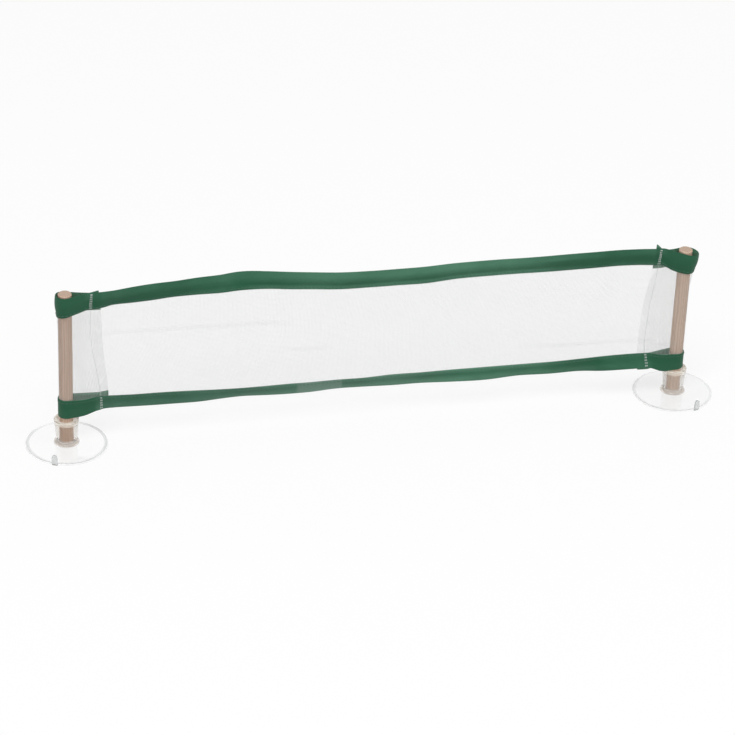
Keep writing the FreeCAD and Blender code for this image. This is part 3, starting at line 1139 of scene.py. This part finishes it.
    def surface(self, levels: Sequence[float]) -> tuple[np.ndarray, np.ndarray, np.ndarray]:
        """Return a patch of the cloth's middle surface.

        Args:
            levels: The levels of the flat cloth, lowest first.

        Returns:
            Points and outward normals, each as levels by places, and the
            distance along the cloth of each place.
        """
        points = np.stack([self.line(level) for level in levels])
        along = np.gradient(points, axis=1)
        up = np.gradient(points, axis=0) if len(levels) > 1 else np.zeros_like(points) + (0, 0, 1)
        normals = np.cross(along, up)
        normals /= np.linalg.norm(normals, axis=2, keepdims=True)
        steps = np.linalg.norm(np.diff(points, axis=1), axis=2).mean(0)
        return points, normals, np.concatenate([[0], np.cumsum(steps)])

    @property
    def left_seam(self) -> int:
        """Number of the place at the left front seam."""
        return 2 * self.wall_steps + self.round_steps + self.flap_steps

    @property
    def right_seam(self) -> int:
        """Number of the place at the right front seam."""
        return self.left_seam + self.span_steps


# Net pieces


@dataclass(frozen=True)
class NetCloth:
    """The white mesh, one sheet from flap to flap, with its edges inside the tapes.

    The hem is how deep the edges go, and the ridge how high a crease stands.
    """

    drape: Drape
    hem: float = 8.0
    rows: int = 44
    ridge: float = 0.4

    def build(self) -> bpy.types.Object:
        """Make the sheet.

        Returns:
            The piece.
        """
        drape = self.drape
        low = drape.bottom_tape - self.hem
        high = drape.bottom_tape + drape.mesh + self.hem
        levels = np.linspace(low, high, self.rows)
        points, normals, along = drape.surface(levels)
        crease = sum(fold.soft_line(along, levels) for fold in NetMeshFinish().creases)
        points = points + normals * (crease * self.ridge)[:, :, None]
        places = np.stack(np.broadcast_arrays(along[None, :], levels[:, None]), 2)
        count = points.shape[1]
        piece = add_piece(
            "net_cloth",
            points.reshape(-1, 3),
            strip_faces(len(levels), count),
            NetMeshFinish().material(),
            places.reshape(-1, 2),
        )
        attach(piece, "net")
        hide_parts("net_mesh", "left_sleeve", "right_sleeve")
        report(piece, "white mesh sheet")
        return piece


class Edge(Enum):
    """A long edge of the net."""

    TOP = "top"
    BOTTOM = "bottom"


@dataclass(frozen=True)
class BindingTape:
    """One tape folded over an edge of the mesh, with its loops and flaps.

    The ply is one layer's thickness, and the puff how far it swells between
    the seam along its open edge, which keeps a band of it flat, and its fold.
    It lies flat beside the sleeve seams too. Outside, the puff then comes back
    over the length of the swell, and on the back over that of the slack.
    """

    drape: Drape
    edge: Edge
    ply: float = 0.26
    puff: float = 0.6
    rows: int = 11
    sewn_band: float = 2.4
    sewn_flat: float = 2.5
    loop_flat: float = 1.0
    swell: float = 6.0
    back_flat: float = 10.0
    slack: float = 12.0

    @property
    def width(self) -> float:
        """Height of the folded tape."""
        return self.drape.top_tape if self.edge is Edge.TOP else self.drape.bottom_tape

    def levels(self) -> np.ndarray:
        """Find the tape's levels, from its open edge to just short of its fold.

        Returns:
            Levels of the flat cloth.
        """
        half = self.drape.tape_thickness / 2
        if self.edge is Edge.TOP:
            start = self.drape.bottom_tape + self.drape.mesh
            return np.linspace(start, start + self.width - half, self.rows)
        return np.linspace(self.drape.bottom_tape, half, self.rows)

    def section(
        self, points: np.ndarray, normals: np.ndarray, front: np.ndarray, back: np.ndarray
    ) -> tuple[np.ndarray, np.ndarray]:
        """Wrap both plies round the middle surface.

        Args:
            points: The middle surface, levels by places.
            normals: Its outward normals.
            front: How much of the puff the outward ply has at each place.
            back: How much of it the other ply has.

        Returns:
            Points of the closed section, section points by places, and how far
            across the flat tape each one lies.
        """
        half = self.drape.tape_thickness / 2
        on = points[-1] - points[-2]
        on /= np.linalg.norm(on, axis=1, keepdims=True)
        run = np.linspace(0, self.width - half, self.rows)
        swollen = np.clip((run - self.sewn_band) / (run[-1] - self.sewn_band), 0, 1)
        crown = self.puff * np.sin(math.pi * swollen) ** 0.8
        outer = half + crown[:, None] * front
        other = half + crown[:, None] * back
        folded = [
            points[-1] + (normals[-1] * math.cos(turn) + on * math.sin(turn)) * half
            for turn in map(math.radians, FOLD_ANGLES)
        ]
        rings = (
            points + normals * outer[:, :, None],
            folded,
            (points - normals * other[:, :, None])[::-1],
            points - normals * (other - self.ply)[:, :, None],
            [points[-1] + on * (half - self.ply)],
            (points + normals * (outer - self.ply)[:, :, None])[::-1],
        )
        far = 2 * self.width - run
        over = self.width - half + 2 * half * np.array(FOLD_ANGLES) / 180
        across = (run, over, far[::-1], far, [self.width], run[::-1])
        return np.concatenate(rings), np.concatenate(across)

    def puffs(self, along: np.ndarray, seams: tuple[float, float]) -> tuple[np.ndarray, np.ndarray]:
        """Find how much of the puff each ply has.

        The sewn places and the insides of the loops lie flat.

        Args:
            along: Places along the cloth.
            seams: Where the two sleeve seams are.

        Returns:
            A share for the outward ply and one for the other, at each place.
        """
        left, right = seams
        flat, looped, far = self.sewn_flat, self.loop_flat, self.back_flat
        span = np.minimum(along - left - flat, right - flat - along)
        behind = along[[self.drape.flap_steps, -1 - self.drape.flap_steps]]
        sewn = np.abs(along[:, None] - behind[None, :]).min(1)
        loops = np.maximum(left - looped - along, along - right - looped)
        loops = np.clip(loops / self.swell, 0, 1) * np.clip((sewn - flat) / self.swell, 0, 1)
        outward = np.clip(span / self.swell, 0, 1) + loops * (self.edge is Edge.TOP)
        inward = np.minimum(along - left - far, right - far - along)
        return outward, np.clip(inward / self.slack, 0, 1)

    def faces(self, ring: int, count: int) -> list[list[int]]:
        """Join a closed section that is swept over the places, with both cut ends.

        Args:
            ring: How many points the section has.
            count: How many places there are.

        Returns:
            The point numbers of each face.
        """
        turned = self.edge is Edge.BOTTOM
        quads = []
        for row in range(ring):
            low = row * count + np.arange(count - 1)
            high = (row + 1) % ring * count + np.arange(count - 1)
            quads.append(np.stack([low, low + 1, high + 1, high], 1))
        made = np.vstack(quads)
        if turned:
            made = made[:, ::-1]
        made = made.tolist()
        last = 2 * self.rows + len(FOLD_ANGLES) - 1
        pairs = [(row, ring - 1 - row) for row in range(self.rows)]
        pairs += [(self.rows + step, ring - 1 - self.rows) for step in range(len(FOLD_ANGLES))]
        pairs += [(last - row, last + 1 + row) for row in range(self.rows)][::-1]
        for column in (0, count - 1):
            for (a, b), (c, d) in zip(pairs, pairs[1:]):
                corners = list(dict.fromkeys(k * count + column for k in (a, c, d, b)))
                flip = (column == 0) != turned
                made.append(corners[::-1] if flip else corners)
        return made

    def finish(self, seams: tuple[float, float]) -> BindingTapeFinish:
        """Choose how the tape has aged and how much painted shade it has.

        Args:
            seams: Where the two sleeve seams are.

        Returns:
            The top tape's finish with no dust and no pale patch, or the bottom
            tape's with both.
        """
        if self.edge is Edge.TOP:
            return BindingTapeFinish(
                self.width, seams, lift=0.0, seam_shade=0.5, middle_shade=1.1, dusty=-50.0, pale_patch=(0.0, -9.0)
            )
        pale_patch = (seams[0] + 136, seams[0] + 172)
        return BindingTapeFinish(
            self.width, seams, lift=0.05, seam_shade=0.2, middle_shade=0.2, dusty=300.0, pale_patch=pale_patch
        )

    def build(self) -> bpy.types.Object:
        """Make the tape.

        Returns:
            The piece.
        """
        name = self.edge.value
        points, normals, along = self.drape.surface(self.levels())
        seams = float(along[self.drape.left_seam]), float(along[self.drape.right_seam])
        if self.edge is Edge.BOTTOM:
            normals = -normals
        rings, across = self.section(points, normals, *self.puffs(along, seams))
        places = np.stack(np.broadcast_arrays(along[None, :], across[:, None]), 2)
        piece = add_piece(
            f"{name}_binding_tape",
            rings.reshape(-1, 3),
            self.faces(len(rings), rings.shape[1]),
            self.finish(seams).material(f"{name}_green_tape"),
            places.reshape(-1, 2),
        )
        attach(piece, "net")
        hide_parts(f"{name}_tape", f"left_{name}_loop", f"right_{name}_loop")
        flat = (2 * self.width * MM, float(along[-1]) * MM)
        report(piece, "folded binding tape")
        return piece


@dataclass(frozen=True)
class Stitching:
    """A row of lockstitches, each a short thread that dips into the cloth at both ends.

    The lift is how high each ring of a stitch of the usual thread stands, and
    the girth its share of the thread's radius. The wander is how far the
    stitches lie aside in turn.
    """

    name: str
    node: str
    slot: str
    finish: ThreadFinish
    pitch: float = 2.7
    length: float = 2.25
    radius: float = THREAD_RADIUS
    sides: int = 6
    lift: tuple[float, ...] = (-0.30, 0.05, 0.17, 0.20, 0.17, 0.05, -0.30)
    girth: tuple[float, ...] = (0.55, 0.9, 1.0, 1.05, 1.0, 0.9, 0.55)
    wander: float = 0.10

    def stitches(
        self, path: np.ndarray, normals: np.ndarray
    ) -> tuple[np.ndarray, np.ndarray, list[list[int]]]:
        """Lay stitches along a path.

        Args:
            path: Points on the cloth's surface.
            normals: The way out of the cloth at each.

        Returns:
            Points, places along and round the thread, and faces.
        """
        steps = np.linalg.norm(np.diff(path, axis=0), axis=1)
        far = np.concatenate([[0], np.cumsum(steps)])
        count = int(far[-1] // self.pitch)
        sides = self.sides
        lift = np.array(self.lift)
        girth = np.array(self.girth) * self.radius
        starts = (np.arange(count) + 0.5) * far[-1] / count
        wander = self.wander * np.sin(np.arange(count) * 2.4)
        s = starts[:, None] + np.linspace(-0.5, 0.5, len(lift)) * self.length
        centre = np.stack([np.interp(s, far, path[:, k]) for k in range(3)], 2)
        out = np.stack([np.interp(s, far, normals[:, k]) for k in range(3)], 2)
        out /= np.linalg.norm(out, axis=2, keepdims=True)
        ahead = np.gradient(centre, axis=1)
        ahead /= np.linalg.norm(ahead, axis=2, keepdims=True)
        beside = np.cross(ahead, out)
        centre = centre + out * (lift[None, :, None] * self.radius / THREAD_RADIUS)
        centre = centre + beside * wander[:, None, None]
        angles = np.linspace(0, 2 * math.pi, sides, endpoint=False)
        ring = (
            beside[:, :, None, :] * np.cos(angles)[None, None, :, None]
            + out[:, :, None, :] * np.sin(angles)[None, None, :, None]
        )
        points = centre[:, :, None, :] + ring * girth[None, :, None, None]
        turns = (angles / (2 * math.pi))[None, None, :]
        places = np.stack(np.broadcast_arrays(s[:, :, None], turns), 3)
        faces = []
        block = len(lift) * sides
        for stitch in range(count):
            first = stitch * block
            for row in range(len(lift) - 1):
                for side in range(sides):
                    a = first + row * sides + side
                    b = first + row * sides + (side + 1) % sides
                    faces.append([a, b, b + sides, a + sides])
            faces.append([first + side for side in reversed(range(sides))])
            faces.append([first + block - sides + side for side in range(sides)])
        return points.reshape(-1, 3), places.reshape(-1, 2), faces

    def build(self, rows: Sequence[tuple[np.ndarray, np.ndarray]]) -> bpy.types.Object:
        """Make the seam.

        Args:
            rows: A path and its normals for each row of stitches.

        Returns:
            The piece.
        """
        points, places, faces = [], [], []
        for path, normals in rows:
            some, where, which = self.stitches(path, normals)
            start = sum(len(p) for p in points)
            points.append(some)
            places.append(where)
            faces += [[corner + start for corner in face] for face in which]
        thread = self.finish.material()
        piece = add_piece(self.name, np.vstack(points), faces, thread, np.vstack(places))
        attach(piece, "net")
        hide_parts(self.node)
        report(piece, "lockstitches")
        return piece


@dataclass(frozen=True)
class Sewing:
    """All seams of the net.

    The margin is how far a tape's seam lies from its open edge. The asides are
    how far towards the span a sleeve seam's passes lie at their start and their
    end: one over the mesh, and to and fro over each tape. The gaps are how far
    the passes stop short of the cloth's foot and head, of a tape's open edge,
    and on the mesh of the tapes. The step is how far beside a seam the cloth is
    looked at to find the way out of it.
    """

    drape: Drape
    margin: float = 1.4
    foot_gap: float = 0.7
    head_gap: float = 0.6
    tape_gap: float = 0.2
    mesh_gap: float = 0.4
    step: float = 0.5
    mesh_aside: tuple[float, float] = (1.3, 1.3)
    tape_asides: tuple[tuple[float, float], ...] = ((0.5, 0.8), (1.2, 1.4), (2.1, 1.8))
    green: ThreadFinish = ThreadFinish("green_thread", (66, 112, 88), (28, 66, 48))
    white: ThreadFinish = ThreadFinish("white_thread", (226, 229, 227), (196, 200, 198))

    def edge_seam(self, edge: Edge) -> bpy.types.Object:
        """Sew one tape shut, on its front and its back, along the whole path.

        Args:
            edge: The net's edge that the tape binds.

        Returns:
            The piece.
        """
        drape = self.drape
        level = drape.bottom_tape - self.margin
        if edge is Edge.TOP:
            level = drape.bottom_tape + drape.mesh + self.margin
        points, normals, _ = drape.surface([level - self.step, level, level + self.step])
        out = drape.tape_thickness / 2
        rows = [(points[1] + normals[1] * out * side, normals[1] * side) for side in (1, -1)]
        name = f"{edge.value}_tape"
        sewing = Stitching(f"{name}_stitches", f"{name}_seam", "green_thread", self.green)
        return sewing.build(rows)

    def pass_path(
        self, end: End, low: float, high: float, aside: tuple[float, float]
    ) -> list[tuple[np.ndarray, np.ndarray]]:
        """Return one pass of a sleeve seam, on the front of the cloth and on its back.

        Args:
            end: The end of the net.
            low: The level where the pass starts.
            high: The level where it ends.
            aside: How far towards the span it lies at its start and its end.

        Returns:
            A path and its normals for each side.
        """
        drape = self.drape
        places = ((drape.left_seam, 1), (drape.flap_steps, -1))
        if end is End.RIGHT:
            places = ((drape.right_seam, -1), (-1 - drape.flap_steps, 1))
        levels = np.linspace(low, high, max(int(high - low), 12))
        points, normals, _ = drape.surface(levels)
        half = np.array([drape.thickness(level) / 2 for level in levels])[:, None]
        sides = []
        for place, inward in places:
            path, ways = [], []
            for row, way, off in zip(points, normals, np.linspace(*aside, len(levels))):
                far = np.concatenate([[0], np.cumsum(np.linalg.norm(np.diff(row, axis=0), axis=1))])
                at = far[place] + inward * off
                path.append([np.interp(at, far, row[:, k]) for k in range(3)])
                ways.append([np.interp(at + inward * self.step, far, way[:, k]) for k in range(3)])
            sides.append((np.array(path) + np.array(ways) * half, np.array(ways)))
        return sides

    def sleeve_seam(self, end: End) -> bpy.types.Object:
        """Sew one sleeve down: once over the mesh, and to and fro over both tapes.

        Args:
            end: The end of the net.

        Returns:
            The piece.
        """
        drape = self.drape
        low, high = drape.bottom_tape, drape.bottom_tape + drape.mesh
        rows = self.pass_path(end, low + self.mesh_gap, high - self.mesh_gap, self.mesh_aside)
        bottom = (self.foot_gap, low - self.tape_gap)
        top = (high + self.tape_gap, drape.cloth_height - self.head_gap)
        for levels in (bottom, top):
            for aside in self.tape_asides:
                rows += self.pass_path(end, *levels, aside)
        side = end.name.lower()
        name = f"{side}_sleeve"
        sewing = Stitching(
            f"{name}_stitches",
            f"{name}_seam",
            "white_thread",
            self.white,
            pitch=1.7,
            length=1.45,
            radius=0.14,
        )
        return sewing.build(rows)

    def build(self) -> None:
        """Make the four seams."""
        for edge in Edge:
            self.edge_seam(edge)
        for end in End:
            self.sleeve_seam(end)


# Cups and posts


@dataclass(frozen=True)
class SuctionCup:
    """A clear suction cup with its socket and its release tab, moulded in one.

    The cavity is how high the roof is over the table, and it is flat as far
    from the axis as its own length says. The dome is the height at which the
    disc's top meets the fillet to the neck. The grip is how much of the socket
    has the plain bore, above which it widens by the flare up to the mouth. On the
    real cup the tab bends in the web, from a little inside the rim to a little past the gap.
    """

    end: End
    tab_turn: float
    span: float = POST_SPAN
    radius: float = 28.5
    rim: float = 1.2
    lip: float = 2.4
    cavity: float = 0.9
    cavity_flat: float = 11.0
    bulge: float = 0.25
    dome: float = 2.7
    fillet: float = 2.4
    floor: float = 3.4
    mouth_height: float = SOCKET_MOUTH
    bore: float = 5.0
    neck_wall: float = 2.2
    mouth_wall: float = 2.7
    flare: float = 0.9
    grip: float = 6.0
    floor_bevel: float = 0.4
    lip_round: float = 0.6
    tab_width: float = 4.0
    tab_thickness: float = 1.4
    hinge_gap: float = 0.25
    bend_height: float = 0.8
    bend_inside: float = 0.25
    bend_past: float = 0.3
    segments: int = 128

    @staticmethod
    def arc(
        x: float, z: float, radius: float, start: float, end: float, steps: int
    ) -> list[tuple[float, float]]:
        """Return section points round a corner.

        Args:
            x: Distance of its centre from the axis.
            z: Height of its centre.
            radius: Its radius.
            start: The first angle in degrees.
            end: The last angle.
            steps: How many parts it has.

        Returns:
            Distance from the axis and height of each point.
        """
        angles = np.radians(np.linspace(start, end, steps + 1))
        return [(x + radius * math.cos(a), z + radius * math.sin(a)) for a in angles]

    @staticmethod
    def run(
        first: tuple[float, float], last: tuple[float, float], bulge: float, steps: int
    ) -> list[tuple[float, float]]:
        """Return section points of a run that bows upwards, without its two ends.

        Args:
            first: Where it starts.
            last: Where it ends.
            bulge: How high it bows in its middle.
            steps: How many parts it has.

        Returns:
            Distance from the axis and height of each point.
        """
        shares = np.linspace(0, 1, steps + 1)[1:-1]
        return [
            (
                first[0] + (last[0] - first[0]) * s,
                first[1] + (last[1] - first[1]) * s + bulge * 4 * s * (1 - s),
            )
            for s in shares
        ]

    def section(self) -> list[tuple[float, float]]:
        """Draw the cup's half section, from the roof's centre outwards and up to the bore.

        Returns:
            Distance from the axis and height of each point.
        """
        half = self.rim / 2
        neck = self.bore + self.neck_wall
        mouth_bore = self.bore + self.flare
        mouth = mouth_bore + self.mouth_wall
        top = self.mouth_height - self.lip_round
        rim = self.arc(self.radius - half, half, half, -90, 90, 8)
        fillet = self.arc(neck + self.fillet, self.dome + self.fillet, self.fillet, 270, 180, 8)
        roof_edge = (self.cavity_flat, self.cavity)
        lip_edge = (rim[0][0] - self.lip, 0.0)
        points = [(0.0, self.cavity), (self.cavity_flat * 0.5, self.cavity), roof_edge]
        points += self.run(roof_edge, lip_edge, self.bulge, 6) + [lip_edge] + rim
        points += self.run(rim[-1], fillet[0], self.bulge, 7) + fillet
        outer = self.arc(mouth - self.lip_round, top, self.lip_round, 0, 90, 4)
        points += self.run(fillet[-1], outer[0], 0.0, 6) + outer
        inner = self.arc(mouth_bore + self.lip_round, top, self.lip_round, 90, 180, 4)
        grip_top = (self.bore, self.floor + self.grip)
        points += inner + self.run(inner[-1], grip_top, 0.0, 5) + [grip_top]
        bevel = self.floor_bevel
        points += [(self.bore, self.floor + bevel), (self.bore - bevel, self.floor)]
        points += [(self.bore * 0.5, self.floor), (0.0, self.floor)]
        return points

    def body(self) -> tuple[np.ndarray, list[list[int]]]:
        """Turn the section round the axis.

        Returns:
            Points and faces about the cup's own axis.
        """
        section = self.section()
        ring = section[1:-1]
        angles = np.linspace(0, 2 * math.pi, self.segments, endpoint=False)
        points = [(0.0, 0.0, section[0][1])]
        for r, z in ring:
            points += [(r * math.cos(a), r * math.sin(a), z) for a in angles]
        points.append((0.0, 0.0, section[-1][1]))
        n, faces = self.segments, []
        for k in range(n):
            after = (k + 1) % n
            faces.append([0, 1 + after, 1 + k])
            for row in range(len(ring) - 1):
                low = 1 + row * n
                faces.append([low + k, low + after, low + n + after, low + n + k])
            low = 1 + (len(ring) - 1) * n
            faces.append([low + k, low + after, len(points) - 1])
        return np.array(points), faces

    def tab(self) -> tuple[np.ndarray, list[list[int]]]:
        """Make the release tab with the web that joins it to the rim.

        Returns:
            Points and faces about the cup's own axis, before the tab's turn.
        """
        inner = self.radius + self.hinge_gap
        outer = inner + self.tab_thickness

        # Distance from the axis, height, half thickness and share of the width
        path = (
            (self.radius - 0.9, 0.75, 0.42, 0.96),
            (self.radius + 0.05, 0.75, 0.5, 1.0),
            (inner + 0.35, 0.85, 0.6, 1.0),
            (inner + 0.68, 1.5, 0.66, 1.0),
            (inner + 0.7, 2.6, 0.7, 1.0),
            (inner + 0.7, 4.2, 0.66, 1.0),
            (inner + 0.7, 5.8, 0.62, 1.0),
            (inner + 0.7, 7.2, 0.6, 0.93),
            (inner + 0.7, 8.1, 0.58, 0.66),
            (inner + 0.7, 8.75, 0.4, 0.2),
        )
        middle = np.array([row[:2] for row in path])
        ahead = np.gradient(middle, axis=0)
        ahead /= np.linalg.norm(ahead, axis=1, keepdims=True)
        side = np.stack([ahead[:, 1], -ahead[:, 0]], 1)
        shape = [(-1.0, -0.5), (-0.85, -1.0), (0.0, -1.0), (0.85, -1.0), (1.0, -0.5)]
        shape += [(1.0, 0.5), (0.85, 1.0), (0.0, 1.0), (-0.85, 1.0), (-1.0, 0.5)]
        points, faces = [], []
        for place, normal, (_, _, thick, width) in zip(middle, side, path):
            for u, v in shape:
                radial, height = place + normal * v * thick
                points.append((u * width * self.tab_width / 2, -min(radial, outer), height))
        n = len(shape)
        for row in range(len(path) - 1):
            for k in range(n):
                a, b = row * n + k, row * n + (k + 1) % n
                faces.append([a, b, b + n, a + n])
        faces.append(list(reversed(range(n))))
        faces.append([len(points) - n + k for k in range(n)])
        return np.array(points), faces

    def build(self, vinyl: bpy.types.Material) -> bpy.types.Object:
        """Join the cup and its tab, which is turned round the cup's axis.

        Args:
            vinyl: The clear material.

        Returns:
            The piece.
        """
        side = self.end.name.lower()
        place = np.array([self.end.value * self.span / 2, 0.0, 0.0])
        points, faces = self.body()
        cup = add_piece(f"{side}_clear_cup", points + place, faces, vinyl)
        tab_points, tab_faces = self.tab()
        turn = self.end.value * math.radians(self.tab_turn)
        spin = np.array(Matrix.Rotation(turn, 3, "Z"))
        tab = add_piece(f"{side}_tab_form", tab_points @ spin.T + place, tab_faces, vinyl)
        union = cup.modifiers.new("tab", "BOOLEAN")
        union.operation = "UNION"
        union.solver = "EXACT"
        union.object = tab
        seen = bpy.context.evaluated_depsgraph_get()
        joined = bpy.data.meshes.new_from_object(cup.evaluated_get(seen))
        cup.modifiers.clear()
        cup.data = joined
        bpy.data.objects.remove(tab)
        joined.set_sharp_from_angle(angle=math.radians(40))
        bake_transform(cup)
        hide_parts(f"{side}_suction_cup", f"{side}_release_tab")
        report(cup, "suction cup with socket and release tab")
        return cup


@dataclass(frozen=True)
class Post:
    """A wooden post, whose turned shape is already right and gets its grain."""

    end: End
    head: float
    wood: DowelFinish
    span: float = POST_SPAN

    def dress(self) -> bpy.types.Object:
        """Give the post its wood.

        Returns:
            The post's object.
        """
        side = self.end.name.lower()
        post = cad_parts[f"{side}_post"]
        centre = self.end.value * self.span / 2
        wood = self.wood.material(f"{side}_post_wood", centre, self.head)
        post.data.materials.clear()
        post.data.materials.append(wood)
        for slot in post.material_slots:
            slot.material = wood
        report(post, "wooden dowel")
        return post


# Studio


@dataclass(frozen=True)
class Studio:
    """Camera, table, soft light and white surroundings.

    The eye is the camera's place, the angles are degrees, and the focus is in
    pixels. The sky is how bright the room is as a light, and the table is a
    grid of so many points a side, a little below the cups.
    """

    eye: Place = (-469.6, -1899.1, 1198.8)
    yaw: float = 13.688
    pitch: float = 30.633
    roll: float = 2.347
    focus: float = 3264.8
    sky: float = 0.55
    table_reach: float = 3000.0
    table_points: int = 7
    table_drop: float = 0.02

    def camera(self) -> None:
        """Set the camera at the viewing angle."""
        yaw, pitch, roll = (math.radians(a) for a in (self.yaw, self.pitch, self.roll))
        flat = math.cos(pitch)
        ahead = Vector((math.sin(yaw) * flat, math.cos(yaw) * flat, -math.sin(pitch)))
        level = Vector((math.cos(yaw), -math.sin(yaw), 0))
        upright = level.cross(ahead)
        right = level * math.cos(roll) + upright * math.sin(roll)
        up = upright * math.cos(roll) - level * math.sin(roll)
        lens = bpy.data.cameras.new("camera")
        lens.sensor_width = SENSOR_WIDTH
        lens.lens = self.focus / IMAGE_WIDTH * SENSOR_WIDTH
        lens.clip_end = 20.0
        camera = bpy.data.objects.new("camera", lens)
        turned = Matrix((right, up, -ahead)).transposed().to_4x4()
        turned.translation = Vector(self.eye) * MM
        camera.matrix_world = turned
        bpy.context.scene.collection.objects.link(camera)
        bpy.context.scene.camera = camera

    def lamp(self, name: str, place: Place, size: float, power: float) -> None:
        """Hang one round soft lamp that looks at the net.

        Args:
            name: The lamp's name.
            place: Where it is, in metres.
            size: Its width in metres.
            power: Its power in watts.
        """
        light = bpy.data.lights.new(name, "AREA")
        light.shape = "DISK"
        light.size = size
        light.energy = power
        lamp = bpy.data.objects.new(name, light)
        lamp.location = place
        aim = Vector((0, 0, 0.05)) - Vector(place)
        lamp.rotation_euler = aim.to_track_quat("-Z", "Y").to_euler()
        bpy.context.scene.collection.objects.link(lamp)

    def surroundings(self) -> None:
        """Make the world white to the eye and evenly bright."""
        board = Board("white_room", world=True)
        bpy.context.scene.world = board.block
        lit, white = (
            board.signal("ShaderNodeBackground", 0, {}, {"Color": (1, 1, 1, 1), "Strength": power})
            for power in (self.sky, 1.0)
        )
        seen = board.rays("Is Camera Ray", "Is Glossy Ray", "Is Transmission Ray")
        board.node("ShaderNodeOutputWorld", {}, {"Surface": board.blend(seen, lit, white)})

    def table(self) -> None:
        """Lay the table top under the cups."""
        count = self.table_points
        steps = np.linspace(-self.table_reach, self.table_reach, count)
        x, y = np.meshgrid(steps, steps)
        points = np.stack([x, y, np.zeros_like(x) - self.table_drop], 2).reshape(-1, 3)
        top = add_piece("table_top", points, strip_faces(count, count), TableFinish().material())

    def build(self) -> None:
        """Make the whole studio."""
        bpy.context.scene.view_settings.view_transform = "Standard"
        self.camera()
        self.surroundings()
        self.table()
        self.lamp("key", place=(-1.0, -2.0, 3.8), size=2.4, power=92.0)
        self.lamp("fill", place=(2.6, -1.8, 2.6), size=2.8, power=26.0)


def main() -> None:
    """Build the studio, then the cups, the posts and the net."""
    logging.basicConfig(level=logging.INFO, format="%(name)s: %(message)s")
    Studio().build()
    vinyl = ClearVinylFinish().material()
    SuctionCup(End.LEFT, tab_turn=24.0).build(vinyl)
    SuctionCup(End.RIGHT, tab_turn=18.5).build(vinyl)
    paler_wood = DowelFinish(light=(209, 183, 162), brown=(170, 141, 120))
    Post(End.LEFT, head=118.8, wood=DowelFinish()).dress()
    Post(End.RIGHT, head=116.3, wood=paler_wood).dress()
    drape = Drape()
    NetCloth(drape).build()
    for edge in Edge:
        BindingTape(drape, edge).build()
    Sewing(drape).build()


if __name__ == "__main__":
    main()
